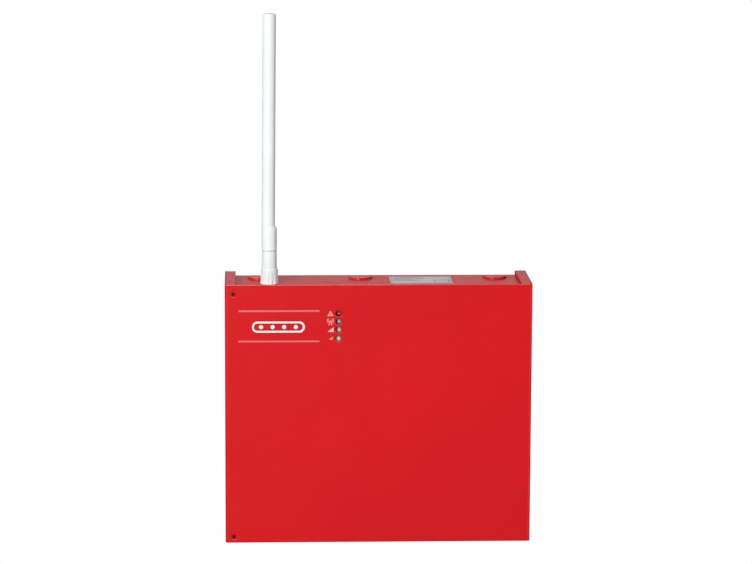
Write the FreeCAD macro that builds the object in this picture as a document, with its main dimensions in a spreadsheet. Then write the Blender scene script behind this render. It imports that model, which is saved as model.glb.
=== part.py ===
import FreeCAD, Part
import os
import re
import sys

import Sketcher

# Wall cabinet of a fire alarm panel with a whip antenna, in millimetres.
# Frame: origin at the centre of the rear (wall) face, +X to the right as one
# faces the cabinet, -Y out of the wall towards the reader, +Z up.

SIZES = {
    # Cabinet: 1.2 mm sheet steel, cover included in the depth. Cutters run past
    # the faces they open by "past", and start "skim" off a face they lie on.
    "past": 1.0, "skim": 0.01,
    "cab_width": 285.0, "cab_height": 244.0, "cab_depth": 80.0, "sheet": 1.2,
    "column": 10.0, "top_step": 4.0, "cover_gap": 0.8, "side_gap": 0.6,
    "opening_half": 130.5, "opening_top": 108.0, "joggle": 11.5,
    "flange": 10.0, "bend_radius": 3.0, "wall_hole_x": 118.0, "wall_hole_z": 90.0,
    "wall_hole_radius": 3.25,
    # Half-inch conduit knockouts, each a slug pushed out on two ties.
    "knock_radius": 11.1, "knock_slit": 0.35, "knock_raise": 1.4, "knock_drop": 2.15,
    "knock_tall": 2.4, "knock_y": -16.5, "knock_left": -110.0, "knock_middle": -14.8,
    "knock_right": 112.0, "tie_width": 2.0, "tie_shift": 3.3, "tie_reach": 1.5,
    "tie_long": 2.4, "tie_thick": 0.8, "tie_sunk": 0.3, "tie_sunk_low": 0.2,
    # Hinge: a pin in the top and bottom of the right column, an ear on the cover.
    "pivot_x": 138.0, "pivot_back": 16.0, "pin_radius": 1.75, "pin_play": 0.08,
    "pin_end": 112.4, "ear_level": 113.6, "ear_thick": 1.5, "ear_radius": 3.2,
    "ear_play": 0.5, "slot_back": 22.0, "slot_wide": 20.0, "ring_radius": 3.0,
    "ring_tall": 1.0, "ring_gap": 0.3,
    # Captive cover screws, M3 countersunk.
    "screw_x": -134.6, "screw_top": 113.2, "screw_bottom": -116.5, "shaft_radius": 1.5,
    "head_radius": 2.6, "head_depth": 1.1, "head_sink": 0.35, "socket_flats": 2.0,
    "socket_deep": 1.3, "shaft_play": 0.35, "hole_play": 0.1, "dimple_play": 0.06,
    "screw_long": 6.0, "clinch_radius": 3.2, "clinch_long": 3.0,
    # Rating label on the top panel.
    "label_left": 12.5, "label_front": -49.0, "label_wide": 58.0, "label_deep": 39.0,
    "label_thick": 0.15,
    # Four 5 mm lamps in a column behind the cover.
    "led_x": -37.0, "led_first": 95.0, "led_pitch": 7.65, "led_last_gap": 8.2,
    "led_radius": 2.5, "led_hole": 3.0, "led_shift": 0.35, "led_flange": 2.9,
    "led_foot": 1.0, "led_length": 8.6, "led_proud": 0.9,
    # Their own board, with two posts on its right side.
    "strip_reach": 12.0, "strip_wide": 26.0, "strip_low": 59.0, "strip_tall": 45.0,
    "post_reach": 10.5, "post_low": 63.0, "post_high": 100.0, "post_thread": 6.0,
    # Main board on standoffs against the back panel.
    "board_left": -106.0, "board_wide": 200.0, "board_low": -8.0, "board_tall": 112.0,
    "board_thick": 1.6, "standoff": 8.0, "standoff_flats": 5.5, "standoff_thread": 6.5,
    "thread_radius": 1.5, "board_screw": 7.0, "fix_radius": 1.6,
    "fix_left": -100.0, "fix_pitch_x": 94.0, "fix_low": 10.0, "fix_pitch_z": 88.0,
    # M3 pan-head screws: head, shaft and the driver slot across the head.
    "pan_radius": 2.75, "pan_tall": 2.0, "pan_shaft": 1.4, "pan_slot": 0.7, "slot_half": 2.0,
    # Antenna jack on the top panel: quarter-inch bulkhead thread, washer and nut.
    "ant_x": -101.0, "ant_y": -52.0, "jack_radius": 3.175, "jack_play": 0.1,
    "jack_flats": 8.0, "jack_flange": 2.0, "jack_reach": 9.0, "tail_radius": 2.0,
    "tail_long": 7.0, "washer_radius": 5.5, "washer_thick": 0.6, "nut_tall": 2.2,
    "nut_play": 0.05,
    # Fluted coupling nut of the antenna.
    "collar_lift": 0.3, "collar_tall": 15.9, "collar_radius": 8.5, "collar_top": 7.8,
    "foot_round": 0.8, "foot_rise": 0.9, "head_round": 0.7, "head_rise": 2.0,
    "mouth_radius": 6.2, "mouth_tall": 3.4, "neck_bore": 5.05, "neck_deep": 4.0,
    "coupling_play": 0.07, "flute_radius": 2.2, "flute_deep": 0.75, "flute_low": 1.6,
    "flute_count": 12,
    # Two sleeves with a swivel seam, and the hollow whip.
    "sleeve_radius": 7.0, "sleeve_neck": 5.0, "sleeve_inset": 0.1, "seam_height": 31.9,
    "seam_gap": 0.9, "seam_round": 0.2, "rim_inset": 1.2, "sleeve_top": 55.3,
    "shoulder_tall": 2.6, "spigot_radius": 4.5, "spigot_long": 5.0, "spigot_play": 0.06,
    "core_bore": 1.6, "rod_bore": 1.2, "rod_radius": 1.0, "rod_lift": 10.6,
    "rod_short": 18.0, "whip_radius": 6.1, "whip_bore": 3.2, "whip_shift": -0.9,
    "whip_foot": 0.05, "whip_top": 252.0, "whip_cap": 5.0, "tip_round": 1.8,
    "plug_radius": 4.0, "plug_long": 4.5, "plug_play": 0.05, "plug_room": 5.0,
    # Standby battery, 12 V 7 Ah sealed lead-acid, standing on the cabinet floor.
    "bat_left": -62.0, "bat_wide": 151.0, "bat_deep": 65.0, "bat_tall": 94.0,
    "bat_lid": 13.0, "tab_wide": 4.75, "tab_thick": 0.8, "tab_tall": 6.35,
    "tab_left": -50.0, "tab_right": 77.0, "tab_y": -34.0,
    "lid_inset": 0.5, "case_round": 2.0,
    "strap_low": -98.0, "strap_tall": 25.0, "strap_foot": 15.0, "strap_hole": 2.3,
    # Weld studs M4 with hexagon nuts; the third one takes the earth wire.
    "stud_radius": 1.95, "stud_long": 8.0, "stud_flats": 7.0, "stud_nut": 3.2,
    "stud_bore": 2.05, "earth_x": 110.0, "earth_z": 40.0, "lug_thick": 0.8,
    "lug_radius": 4.5, "lug_wide": 3.0,
    # Tamper switch beside the left edge of the opening.
    "tamper_x": -122.0, "tamper_z": -10.0, "tamper_wide": 10.0, "tamper_tall": 20.0,
    "tamper_back": 5.2, "tamper_deep": 13.0, "tamper_well": 8.0, "plunger_radius": 2.0,
    "plunger_play": 0.06, "plunger_deep": 7.0, "plunger_gap": 0.1, "bracket_past": 7.0,
    "bracket_foot": 16.0,
    # Subscriber card holder with a hinged lid.
    "sim_left": -95.0, "sim_low": 20.0, "sim_wide": 30.0, "sim_tall": 19.0,
    "sim_thick": 2.4, "card_wide": 25.0, "card_tall": 15.0, "card_thick": 0.76,
    "card_play": 0.1, "pit_deep": 0.9, "lid_thick": 0.4, "lid_gap": 0.1, "lid_short": 0.6,
    "knuckle_radius": 0.8, "knuckle_long": 6.8, "knuckle_rise": 6.1, "pivot_out": 1.2,
    "pivot_rise": 2.1,
    # Radio module and its shielding can, and the coaxial receptacle.
    "radio_left": -95.0, "radio_low": 54.0, "radio_wide": 46.0, "radio_tall": 38.0,
    "radio_thick": 1.0, "can_left": -93.0, "can_low": 57.0, "can_wide": 40.0,
    "can_tall": 30.0, "can_deep": 3.2, "can_wall": 0.4, "seat_x": -51.0, "seat_z": 84.0,
    "seat_radius": 1.6,
    # Screw terminals along the lower edge of the main board.
    "term_pitch": 5.08, "term_deep": 12.0, "term_tall": 10.0, "term_low": -6.0,
    "term_power_left": 20.0, "term_zone_left": -50.0, "mouth_half": 1.6,
    "mouth_front": 6.5, "mouth_rear": 2.5, "mouth_deep": 6.5, "well_radius": 1.9,
    "well_deep": 4.0, "term_screw": 1.8, "term_screw_tall": 2.6, "term_slot": 0.6,
    # Relays, capacitors, inductor, chips, fuse and push button.
    "relay_low": 66.0, "relay_wide": 15.5, "relay_tall": 19.0, "drum_level": 34.0,
    "drum_radius": 5.0, "drum_tall": 16.0, "coil_left": 42.0, "coil_low": 28.0,
    "coil_wide": 12.0, "coil_deep": 6.0, "chip_left": -20.0, "chip_low": 70.0,
    "chip_wide": 14.0, "chip_thick": 1.4, "driver_low": 50.0, "driver_wide": 10.0,
    "driver_tall": 4.0, "driver_thick": 1.7, "clip_low": 30.0, "clip_wide": 4.0,
    "clip_deep": 8.0, "clip_tall": 7.0, "fuse_left": 62.5, "fuse_lift": 5.0,
    "fuse_level": 33.5, "fuse_radius": 2.6, "fuse_long": 20.0, "fuse_play": 0.05,
    "button_x": -37.0, "button_z": 23.0, "button_wide": 6.0, "button_deep": 3.5,
    "button_radius": 1.8, "button_play": 0.06, "button_well": 2.0, "button_lift": 2.6,
    "button_long": 2.4,
    # Ribbon headers and wires.
    "header_reach": 8.0, "header_deep": 8.0, "header_tall": 6.0, "header_low": 36.0,
    "header_high": 70.0, "ribbon_half": 6.3, "ribbon_thick": 0.9, "ribbon_gap": 0.1,
    "coax_radius": 0.9, "lead_radius": 1.1, "signal_radius": 0.7, "wire_apart": 2.4,
}

doc = FreeCAD.newDocument("AlarmPanel")
sheet = doc.addObject("Spreadsheet::Sheet", "Sizes")
for row, (alias, number) in enumerate(SIZES.items(), start=1):
    sheet.set("A%d" % row, alias)
    sheet.set("B%d" % row, str(number))
    sheet.setAlias("B%d" % row, alias)
doc.recompute()

V = FreeCAD.Vector
WORD = re.compile(r"[a-z_][a-z0-9_]*")
FRONT = FreeCAD.Rotation(V(1, 0, 0), 90)   # turns a solid's own +Z to face -Y
BACKWARD = FreeCAD.Rotation(V(1, 0, 0), -90)   # turns a solid's own +Z to face +Y
RIGHT = FreeCAD.Rotation(V(0, 1, 0), 90)   # turns a solid's own +Z to face +X
UP = FreeCAD.Rotation()
KNOCK_LEAN = 4.5   # degrees a knockout slug leans, its front edge outermost
TIE_SLOPE = 50.0   # degrees of a knockout's front tie
WHIP_LEAN = 0.35   # degrees the whip leans to the right
nodes = []

# Sheet faces that many pieces refer to, as expressions.
HALF = "cab_width / 2"
TOP = "cab_height / 2 - top_step"
ROOF = "cab_height / 2 - top_step - sheet"
FLOOR = "sheet - cab_height / 2"
LIP = "sheet + cover_gap - cab_depth"
BACK = "-sheet"
BOARD = "-sheet - standoff - board_thick"
PIVOT_Y = "pivot_back - cab_depth"
LAMP_FACE = "led_length - led_proud - cab_depth"
TAMPER = "tamper_back - cab_depth"


# ---- Drawing helpers ------------------------------------------------------

def sized(text):
    """Spreadsheet expression for a formula written with the bare size names."""
    return WORD.sub(lambda match: "Sizes." + match.group(0), str(text))


def bind(item, prop, text):
    item.setExpression(prop, sized(text))


def put(item, place, turn=UP):
    """Place an object at three formulas, turned by a fixed rotation."""
    item.Placement = FreeCAD.Placement(V(0, 0, 0), turn)
    for axis, text in zip("xyz", place):
        bind(item, "Placement.Base." + axis, text)
    return item


def block(name, place, size, turn=UP):
    box = doc.addObject("Part::Box", name)
    for prop, text in zip(("Length", "Width", "Height"), size):
        bind(box, prop, text)
    return put(box, place, turn)


def rod(name, place, radius, length, turn=UP):
    cylinder = doc.addObject("Part::Cylinder", name)
    bind(cylinder, "Radius", radius)
    bind(cylinder, "Height", length)
    return put(cylinder, place, turn)


def cone(name, place, first, second, length, turn=UP):
    solid = doc.addObject("Part::Cone", name)
    bind(solid, "Radius1", first)
    bind(solid, "Radius2", second)
    bind(solid, "Height", length)
    return put(solid, place, turn)


def hexagon(name, place, flats, length, turn=UP):
    """Hexagonal prism given by its width across flats."""
    prism = doc.addObject("Part::Prism", name)
    prism.Polygon = 6
    bind(prism, "Circumradius", "(%s) / 1.7320508" % flats)
    bind(prism, "Height", length)
    return put(prism, place, turn)


def join(name, parts):
    union = doc.addObject("Part::MultiFuse", name)
    union.Shapes = parts
    return union


def cut(name, base, tools):
    result = doc.addObject("Part::Cut", name)
    result.Base = base
    result.Tool = tools[0] if len(tools) == 1 else join(name + "_tools", tools)
    return result


def group(name, parts):
    """Identical loose pieces that share one node."""
    compound = doc.addObject("Part::Compound", name)
    compound.Links = parts
    return compound


def node(item, label, count=1):
    """Register a finished sub-part, its file name and how many solids it has."""
    item.Label = label
    nodes.append((item, count))
    return item


def shifted(text, step, number):
    return "%s + %s * %d" % (text, step, number)


# ---- PartDesign helpers ---------------------------------------------------

def new_body(name, place=("0", "0", "0"), turn=UP):
    body = doc.addObject("PartDesign::Body", name)
    return put(body, place, turn)


def origin_item(body, role):
    return next(item for item in body.Origin.OriginFeatures if item.Role == role)


def new_sketch(body, name, role="XY_Plane", lift="0"):
    sketch = body.newObject("Sketcher::SketchObject", name)
    sketch.AttachmentSupport = [(origin_item(body, role), "")]
    sketch.MapMode = "FlatFace"
    bind(sketch, "AttachmentOffset.Base.z", lift)
    return sketch


def pin_point(sketch, geometry, corner, across, along):
    """Hold a point of a sketch at two formulas from its origin."""
    held = (("DistanceX", across, -2), ("DistanceY", along, -1))
    for kind, text, axis in held:
        if text == "0":
            sketch.addConstraint(Sketcher.Constraint("PointOnObject", geometry, corner, axis))
            continue
        rule = Sketcher.Constraint(kind, -1, 1, geometry, corner, 1.0)
        index = sketch.addConstraint(rule)
        bind(sketch, "Constraints[%d]" % index, text)


def outline(sketch, corners):
    """Closed polygon through corners given as pairs of formulas."""
    first = sketch.GeometryCount
    count = len(corners)
    for number in range(count):
        start = V(number + 1, number % 3 + 1, 0)
        end = V((number + 1) % count + 1, (number + 1) % count % 3 + 1, 0)
        sketch.addGeometry(Part.LineSegment(start, end), False)
    for number in range(count):
        following = first + (number + 1) % count
        rule = Sketcher.Constraint("Coincident", first + number, 2, following, 1)
        sketch.addConstraint(rule)
    for number, (across, along) in enumerate(corners):
        pin_point(sketch, first + number, 1, across, along)


def ring(sketch, across, along, radius):
    circle = sketch.addGeometry(Part.Circle(V(1, 1, 0), V(0, 0, 1), 1.0), False)
    index = sketch.addConstraint(Sketcher.Constraint("Radius", circle, 1.0))
    bind(sketch, "Constraints[%d]" % index, radius)
    pin_point(sketch, circle, 3, across, along)


def pad(body, name, sketch, length):
    feature = body.newObject("PartDesign::Pad", name)
    feature.Profile = sketch
    bind(feature, "Length", length)
    body.Tip = feature
    return feature


def pocket(body, name, sketch, length):
    """Pocket that runs the way the sketch faces."""
    feature = body.newObject("PartDesign::Pocket", name)
    feature.Profile = sketch
    feature.Reversed = True
    bind(feature, "Length", length)
    body.Tip = feature
    return feature


def revolve(body, name, sketch):
    feature = body.newObject("PartDesign::Revolution", name)
    feature.Profile = sketch
    feature.ReferenceAxis = (sketch, ["V_Axis"])
    feature.Angle = 360.0
    body.Tip = feature
    return feature


def row_of(body, name, feature, role, length, count):
    pattern = body.newObject("PartDesign::LinearPattern", name)
    pattern.Originals = [feature]
    pattern.Direction = (origin_item(body, role), [""])
    bind(pattern, "Length", length)
    pattern.Occurrences = count
    body.Tip = pattern
    return pattern


def rounded(body, name, radius, wanted):
    """Fillet of the tip's edges that answer wanted(middle, direction)."""
    doc.recompute()
    base = body.Tip
    chosen = []
    for number, edge in enumerate(base.Shape.Edges, start=1):
        middle = edge.valueAt((edge.FirstParameter + edge.LastParameter) / 2)
        direction = edge.tangentAt(edge.FirstParameter)
        if wanted(middle, direction):
            chosen.append("Edge%d" % number)
    fillet = body.newObject("PartDesign::Fillet", name)
    fillet.Base = (base, chosen)
    bind(fillet, "Radius", radius)
    body.Tip = fillet
    return fillet


def value(alias):
    return float(sheet.get(alias))


# ---- Cabinet --------------------------------------------------------------

def hollow(name, half, front, rear, floor, ceiling):
    """Empty block across the cabinet between two depths."""
    size = ("2 * (%s)" % half, "(%s) - (%s)" % (rear, front), "(%s) - (%s)" % (ceiling, floor))
    return block(name, ("-(%s)" % half, front, floor), size)


def column_hollow(name, inner, outer, front, rear, side):
    """Inside of a side column above the roof panel."""
    low = inner if side > 0 else "-(%s)" % outer
    size = ("(%s) - (%s)" % (outer, inner), "(%s) - (%s)" % (rear, front), "2 * top_step")
    return block(name, (low, front, "cab_height / 2 - sheet - 2 * top_step"), size)


def knockout(name, across, face, out):
    """Round slit through a panel, and its slug pushed out as a leaning shallow cup.

    face is the panel's outer face and out is 1 for up or -1 for down. The slug
    hangs on a sloping tie at the front and a flush tie at the rear.
    """
    panel = face + " - sheet" if out > 0 else face
    slit = rod(name + "_slit", (across, "knock_y", panel + " - past"),
               "knock_radius + knock_slit", "sheet + 2 * past")
    lean = FreeCAD.Rotation(V(1, 0, 0), -KNOCK_LEAN * out)
    low = face + (" + knock_raise - knock_tall" if out > 0 else " - knock_drop")
    slug = rod(name + "_slug", (across, "knock_y", low), "knock_radius", "knock_tall", lean)
    dish = low + (" - skim" if out > 0 else " + sheet + skim")
    room = rod(name + "_room", (across, "knock_y", dish), "knock_radius - sheet",
               "knock_tall - sheet", lean)
    left = across + " - tie_shift"
    foot = "knock_y - knock_radius - tie_reach"
    sunk = " - tie_sunk" if out > 0 else " - tie_sunk_low"
    ramp = block(name + "_ramp", (left, foot, face + sunk), ("tie_width", "tie_long", "tie_thick"),
                 FreeCAD.Rotation(V(1, 0, 0), TIE_SLOPE * out))
    rear = block(name + "_rear", (left, "knock_y + knock_radius - sheet", panel),
                 ("tie_width", "2 * sheet", "sheet"))
    return slit, [cut(name + "_cup", slug, [room]), ramp, rear]


def make_backbox():
    """Folded steel box: back, walls with a joggled front edge, lips and columns."""
    top, bottom = "cab_height / 2", "-cab_height / 2"
    depth = "cab_depth - sheet - cover_gap"
    body = block("Shell", ("-cab_width / 2", LIP, bottom), ("cab_width", depth, "cab_height"))
    step = "cab_depth - joggle - sheet"
    narrow = "cab_width / 2 - 2 * sheet - side_gap"
    wide = "cab_width / 2 - sheet"
    low = "sheet - cab_height / 2"
    tools = [
        hollow("RoofStep", "cab_width / 2 - column", LIP + " - past", "past", TOP,
               top + " + past"),
        hollow("FrontRoom", narrow, LIP + " + sheet", "-(%s)" % step, low, ROOF),
        hollow("RearRoom", wide, "joggle - cab_depth", BACK, low, ROOF),
        hollow("Opening", "opening_half", LIP + " - past", LIP + " + sheet + past",
               "-opening_top", "opening_top"),
    ]
    inner = "cab_width / 2 - column + sheet"
    for side in (-1, 1):
        tag = "Left" if side < 0 else "Right"
        tools.append(column_hollow(tag + "FrontColumn", inner, narrow, LIP + " + sheet",
                                   "-(%s)" % step, side))
        tools.append(column_hollow(tag + "RearColumn", inner, wide, "joggle - cab_depth",
                                   BACK, side))
        edge = "cab_width / 2 - sheet - side_gap"
        start = edge if side > 0 else "-cab_width / 2 - past"
        size = ("sheet + side_gap + past", "joggle - sheet - cover_gap + past",
                "cab_height + 2 * past")
        tools.append(block(tag + "Joggle", (start, LIP + " - past", bottom + " - past"), size))
    for level in ("ear_level - ear_play", "-ear_level - ear_thick - ear_play"):
        place = ("pivot_x - ear_radius - ear_play - past", LIP + " - past", level)
        size = ("slot_wide", "slot_back - sheet - cover_gap + past", "ear_thick + 2 * ear_play")
        tools.append(block("EarSlot", place, size))
    for height in ("screw_top", "screw_bottom"):
        place = ("screw_x", LIP + " + sheet + past", height)
        tools.append(rod("LipHole", place, "shaft_radius + shaft_play", "sheet + 2 * past",
                         FRONT))
    for across in ("-wall_hole_x", "wall_hole_x"):
        for height in ("-wall_hole_z", "wall_hole_z"):
            tools.append(rod("WallHole", (across, "past", height), "wall_hole_radius",
                             "sheet + 2 * past", FRONT))
    tools.append(rod("JackHole", ("ant_x", "ant_y", ROOF + " - past"),
                     "jack_radius + jack_play", "sheet + 2 * past"))
    discs = []
    for spot in ("left", "middle", "right"):
        for tag, face, out in (("Roof", TOP, 1), ("Floor", "-cab_height / 2", -1)):
            slit, pieces = knockout(tag + "Knock_" + spot, "knock_" + spot, face, out)
            tools.append(slit)
            discs += pieces
    node(join("Backbox", [cut("BackboxSheet", body, tools)] + discs), "backbox")


def make_hinge_pins():
    """Pins fixed in the caps of the right column, each with a collar beside its ear."""
    pins = []
    for side in (1, -1):
        cap = "cab_height / 2 - sheet"
        low = "pin_end" if side > 0 else "-(%s)" % cap
        pin = rod("Pin", ("pivot_x", PIVOT_Y, low), "pin_radius", cap + " - pin_end")
        lift = "ear_level + ear_thick + ring_gap"
        foot = lift if side > 0 else "-(%s) - ring_tall" % lift
        collar = rod("PinCollar", ("pivot_x", PIVOT_Y, foot), "ring_radius", "ring_tall")
        pins.append(join("HingePin", [pin, collar]))
    node(group("HingePins", pins), "hinge_pins", 2)


def make_lip_nuts():
    """Round clinch nuts behind the left lip that take the cover screws."""
    nuts = []
    for height in ("screw_top", "screw_bottom"):
        place = ("screw_x", LIP + " + sheet + clinch_long", height)
        barrel = rod("NutBarrel", place, "clinch_radius", "clinch_long", FRONT)
        bore = rod("NutBore", place, "shaft_radius + shaft_play", "clinch_long", FRONT)
        nuts.append(cut("LipNut", barrel, [bore]))
    node(group("LipNuts", nuts), "lip_clinch_nuts", 2)


def make_rating_label():
    place = ("label_left", "label_front", TOP)
    size = ("label_wide", "label_deep", "label_thick")
    node(block("RatingLabel", place, size), "rating_label")


# ---- Cover ----------------------------------------------------------------

def make_cover():
    """Flat front with two side flanges on soft bends, lamp holes, ears and dimples."""
    body = new_body("CoverBody")
    profile = new_sketch(body, "CoverProfile", lift="-cab_height / 2")
    out, inner = "cab_width / 2", "cab_width / 2 - sheet"
    front, rear = "-cab_depth", "flange - cab_depth"
    web = "sheet - cab_depth"
    outline(profile, [
        ("-" + out, front), (out, front), (out, rear), (inner, rear),
        (inner, web), ("-(%s)" % inner, web), ("-(%s)" % inner, rear), ("-" + out, rear)])
    pad(body, "CoverSheet", profile, "cab_height")
    depth = value("cab_depth")
    half = value("cab_width") / 2
    rounded(body, "OuterBends", "bend_radius", lambda middle, direction: (
        abs(direction.z) > 0.99 and abs(middle.y + depth) < 0.01 and abs(middle.x) > half - 0.1))
    skin = value("sheet")
    rounded(body, "InnerBends", "bend_radius - sheet", lambda middle, direction: (
        abs(direction.z) > 0.99 and abs(middle.y + depth - skin) < 0.01
        and abs(abs(middle.x) - half + skin) < 0.01))
    holes = new_sketch(body, "LampHoles", "XZ_Plane")
    for height in lamp_heights():
        ring(holes, "led_x - led_shift", height, "led_hole")
    pocket(body, "LampPocket", holes, "cab_depth + past")
    pieces = [body]
    for low in ("ear_level", "-ear_level - ear_thick"):
        left, near = "pivot_x - ear_radius", "sheet / 2 - cab_depth"
        arm = block("EarArm", (left, near, low),
                    ("2 * ear_radius", "pivot_back - sheet / 2", "ear_thick"))
        wide = "cab_width / 2 - sheet / 2 - (%s)" % left
        root = block("EarRoot", (left, near, low), (wide, "flange - sheet", "ear_thick"))
        tip = rod("EarTip", ("pivot_x", PIVOT_Y, low), "ear_radius", "ear_thick")
        bore = rod("EarBore", ("pivot_x", PIVOT_Y, low + " - past"), "pin_radius + pin_play",
                   "ear_thick + 2 * past")
        pieces.append(cut("Ear", join("EarBlank", [arm, root, tip]), [bore]))
    tools = []
    for height in ("screw_top", "screw_bottom"):
        place = ("screw_x", "-cab_depth - skim", height)
        tools.append(cone("Dimple", place, "head_radius + dimple_play",
                          "shaft_radius + dimple_play", "head_depth", BACKWARD))
        tools.append(rod("ScrewHole", place, "shaft_radius + hole_play", "sheet + past",
                         BACKWARD))
    node(cut("Cover", join("CoverWithEars", pieces), tools), "cover")


def lamp_heights():
    heights = [shifted("led_first", "-led_pitch", number) for number in range(3)]
    return heights + ["led_first - 2 * led_pitch - led_last_gap"]


def make_cover_screw(name, label, height):
    """Countersunk socket screw, kept in the cover a little below its face."""
    top = "head_sink - cab_depth"
    head = cone(name + "Head", ("screw_x", top, height), "head_radius - head_sink",
                "shaft_radius", "head_depth - head_sink", BACKWARD)
    shaft = rod(name + "Shaft", ("screw_x", top, height), "shaft_radius",
                "screw_long - head_sink", BACKWARD)
    socket = hexagon(name + "Socket", ("screw_x", top + " - past", height), "socket_flats",
                     "socket_deep + past", BACKWARD)
    node(cut(name, join(name + "Blank", [head, shaft]), [socket]), label)


# ---- Antenna --------------------------------------------------------------

def make_jack():
    """Bulkhead coaxial jack: hexagonal flange under the roof, threaded barrel above."""
    under = ("ant_x", "ant_y", ROOF + " - jack_flange")
    flange = hexagon("JackFlange", under, "jack_flats", "jack_flange")
    barrel = rod("JackBarrel", under, "jack_radius", "jack_flange + sheet + jack_reach")
    foot = ("ant_x", "ant_y", ROOF + " - jack_flange - tail_long")
    tail = rod("JackTail", foot, "tail_radius", "tail_long + past")
    node(join("Jack", [flange, barrel, tail]), "antenna_jack")
    on_roof = ("ant_x", "ant_y", TOP)
    washer = rod("WasherDisc", on_roof, "washer_radius", "washer_thick")
    hole = rod("WasherBore", on_roof, "jack_radius + nut_play", "washer_thick")
    node(cut("JackWasher", washer, [hole]), "jack_washer")
    on_washer = ("ant_x", "ant_y", TOP + " + washer_thick")
    prism = hexagon("NutPrism", on_washer, "jack_flats", "nut_tall")
    bore = rod("NutHole", on_washer, "jack_radius + nut_play", "nut_tall")
    node(cut("JackNut", prism, [bore]), "jack_nut")


def make_collar():
    """Fluted coupling nut of the antenna, free to spin on the jack."""
    body = new_body("Collar", ("ant_x", "ant_y", TOP + " + collar_lift"))
    profile = new_sketch(body, "CollarProfile", "XZ_Plane")
    neck = "collar_tall - neck_deep"
    thread = "jack_radius + coupling_play"
    outline(profile, [
        ("mouth_radius", "0"), ("collar_radius - foot_round", "0"),
        ("collar_radius", "foot_rise"), ("collar_top", "collar_tall - head_rise"),
        ("collar_top - head_round", "collar_tall"), ("neck_bore", "collar_tall"),
        ("neck_bore", neck), (thread, neck), (thread, "mouth_tall"),
        ("mouth_radius", "mouth_tall")])
    revolve(body, "CollarTurned", profile)
    circle = new_sketch(body, "FluteCircle", lift="flute_low")
    ring(circle, "collar_radius + flute_radius - flute_deep", "0", "flute_radius")
    flute = pocket(body, "Flute", circle, "collar_tall")
    pattern = body.newObject("PartDesign::PolarPattern", "Flutes")
    pattern.Originals = [flute]
    pattern.Axis = (origin_item(body, "Z_Axis"), [""])
    pattern.Angle = 360.0
    pattern.Occurrences = int(value("flute_count"))
    body.Tip = pattern
    node(body, "antenna_coupling_nut")


def make_sleeves():
    """Lower sleeve fixed on the jack, upper sleeve that swivels on it."""
    body = new_body("LowerSleeve", ("ant_x", "ant_y", TOP))
    profile = new_sketch(body, "LowerProfile", "XZ_Plane")
    base = "collar_lift + collar_tall + sleeve_inset"
    foot = base + " - neck_deep"
    outside = "sleeve_radius - sleeve_inset"
    inside = "spigot_radius + spigot_play"
    floor = "seam_height - spigot_long - seam_round"
    outline(profile, [
        ("core_bore", foot), ("sleeve_neck", foot), ("sleeve_neck", base), (outside, base),
        (outside, "seam_height - seam_round"), (outside + " - seam_round", "seam_height"),
        (inside, "seam_height"), (inside, floor), ("core_bore", floor)])
    revolve(body, "LowerTurned", profile)
    node(body, "antenna_lower_sleeve")

    upper = new_body("UpperSleeve", ("ant_x", "ant_y", TOP))
    barrel = new_sketch(upper, "BarrelCircle", lift="seam_height + seam_gap")
    ring(barrel, "0", "0", "sleeve_radius")
    pad(upper, "Barrel", barrel, "sleeve_top - seam_height - seam_gap - shoulder_tall")
    wide = new_sketch(upper, "ShoulderFoot", lift="sleeve_top - shoulder_tall")
    ring(wide, "0", "0", "sleeve_radius")
    slim = new_sketch(upper, "ShoulderTop", lift="sleeve_top")
    ring(slim, "whip_shift", "0", "whip_radius")
    loft = upper.newObject("PartDesign::AdditiveLoft", "Shoulder")
    loft.Profile = wide
    loft.Sections = [slim]
    upper.Tip = loft
    rim = new_sketch(upper, "RimCircle", lift="seam_height + sleeve_inset")
    ring(rim, "0", "0", "sleeve_radius - rim_inset")
    pad(upper, "Rim", rim, "seam_gap - sleeve_inset")
    spigot = new_sketch(upper, "SpigotCircle", lift="seam_height - spigot_long")
    ring(spigot, "0", "0", "spigot_radius")
    pad(upper, "Spigot", spigot, "spigot_long + sleeve_inset")
    bore = new_sketch(upper, "BoreCircle", lift="seam_height - spigot_long - past")
    ring(bore, "0", "0", "rod_bore")
    pocket(upper, "Bore", bore, "sleeve_top - seam_height + spigot_long + 2 * past")
    socket = new_sketch(upper, "SocketCircle", lift="sleeve_top - plug_room")
    ring(socket, "whip_shift", "0", "plug_radius + plug_play")
    pocket(upper, "Socket", socket, "plug_room + past")
    node(upper, "antenna_upper_sleeve")


def make_whip():
    """Hollow whip with a softened flat tip, leaning slightly, and the rod inside it."""
    place = ("ant_x + whip_shift", "ant_y", TOP + " + sleeve_top")
    body = new_body("Whip", place, FreeCAD.Rotation(V(0, 1, 0), WHIP_LEAN))
    profile = new_sketch(body, "WhipProfile", "XZ_Plane")
    tall = "whip_top - sleeve_top"
    outline(profile, [
        ("whip_bore", "-plug_long"), ("plug_radius", "-plug_long"),
        ("plug_radius", "whip_foot"), ("whip_radius", "whip_foot"), ("whip_radius", tall),
        ("0", tall), ("0", tall + " - whip_cap"), ("whip_bore", tall + " - whip_cap")])
    revolve(body, "WhipTurned", profile)
    rim = value("whip_top") - value("sleeve_top")
    rounded(body, "WhipTip", "tip_round", lambda middle, direction: (
        abs(direction.z) < 0.01 and abs(middle.z - rim) < 0.01))
    node(body, "antenna_whip")
    place = ("ant_x", "ant_y", TOP + " + rod_lift")
    node(rod("Radiator", place, "rod_radius", "whip_top - rod_short"), "antenna_radiator_rod")


# ---- Lamps and their board ------------------------------------------------

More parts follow.
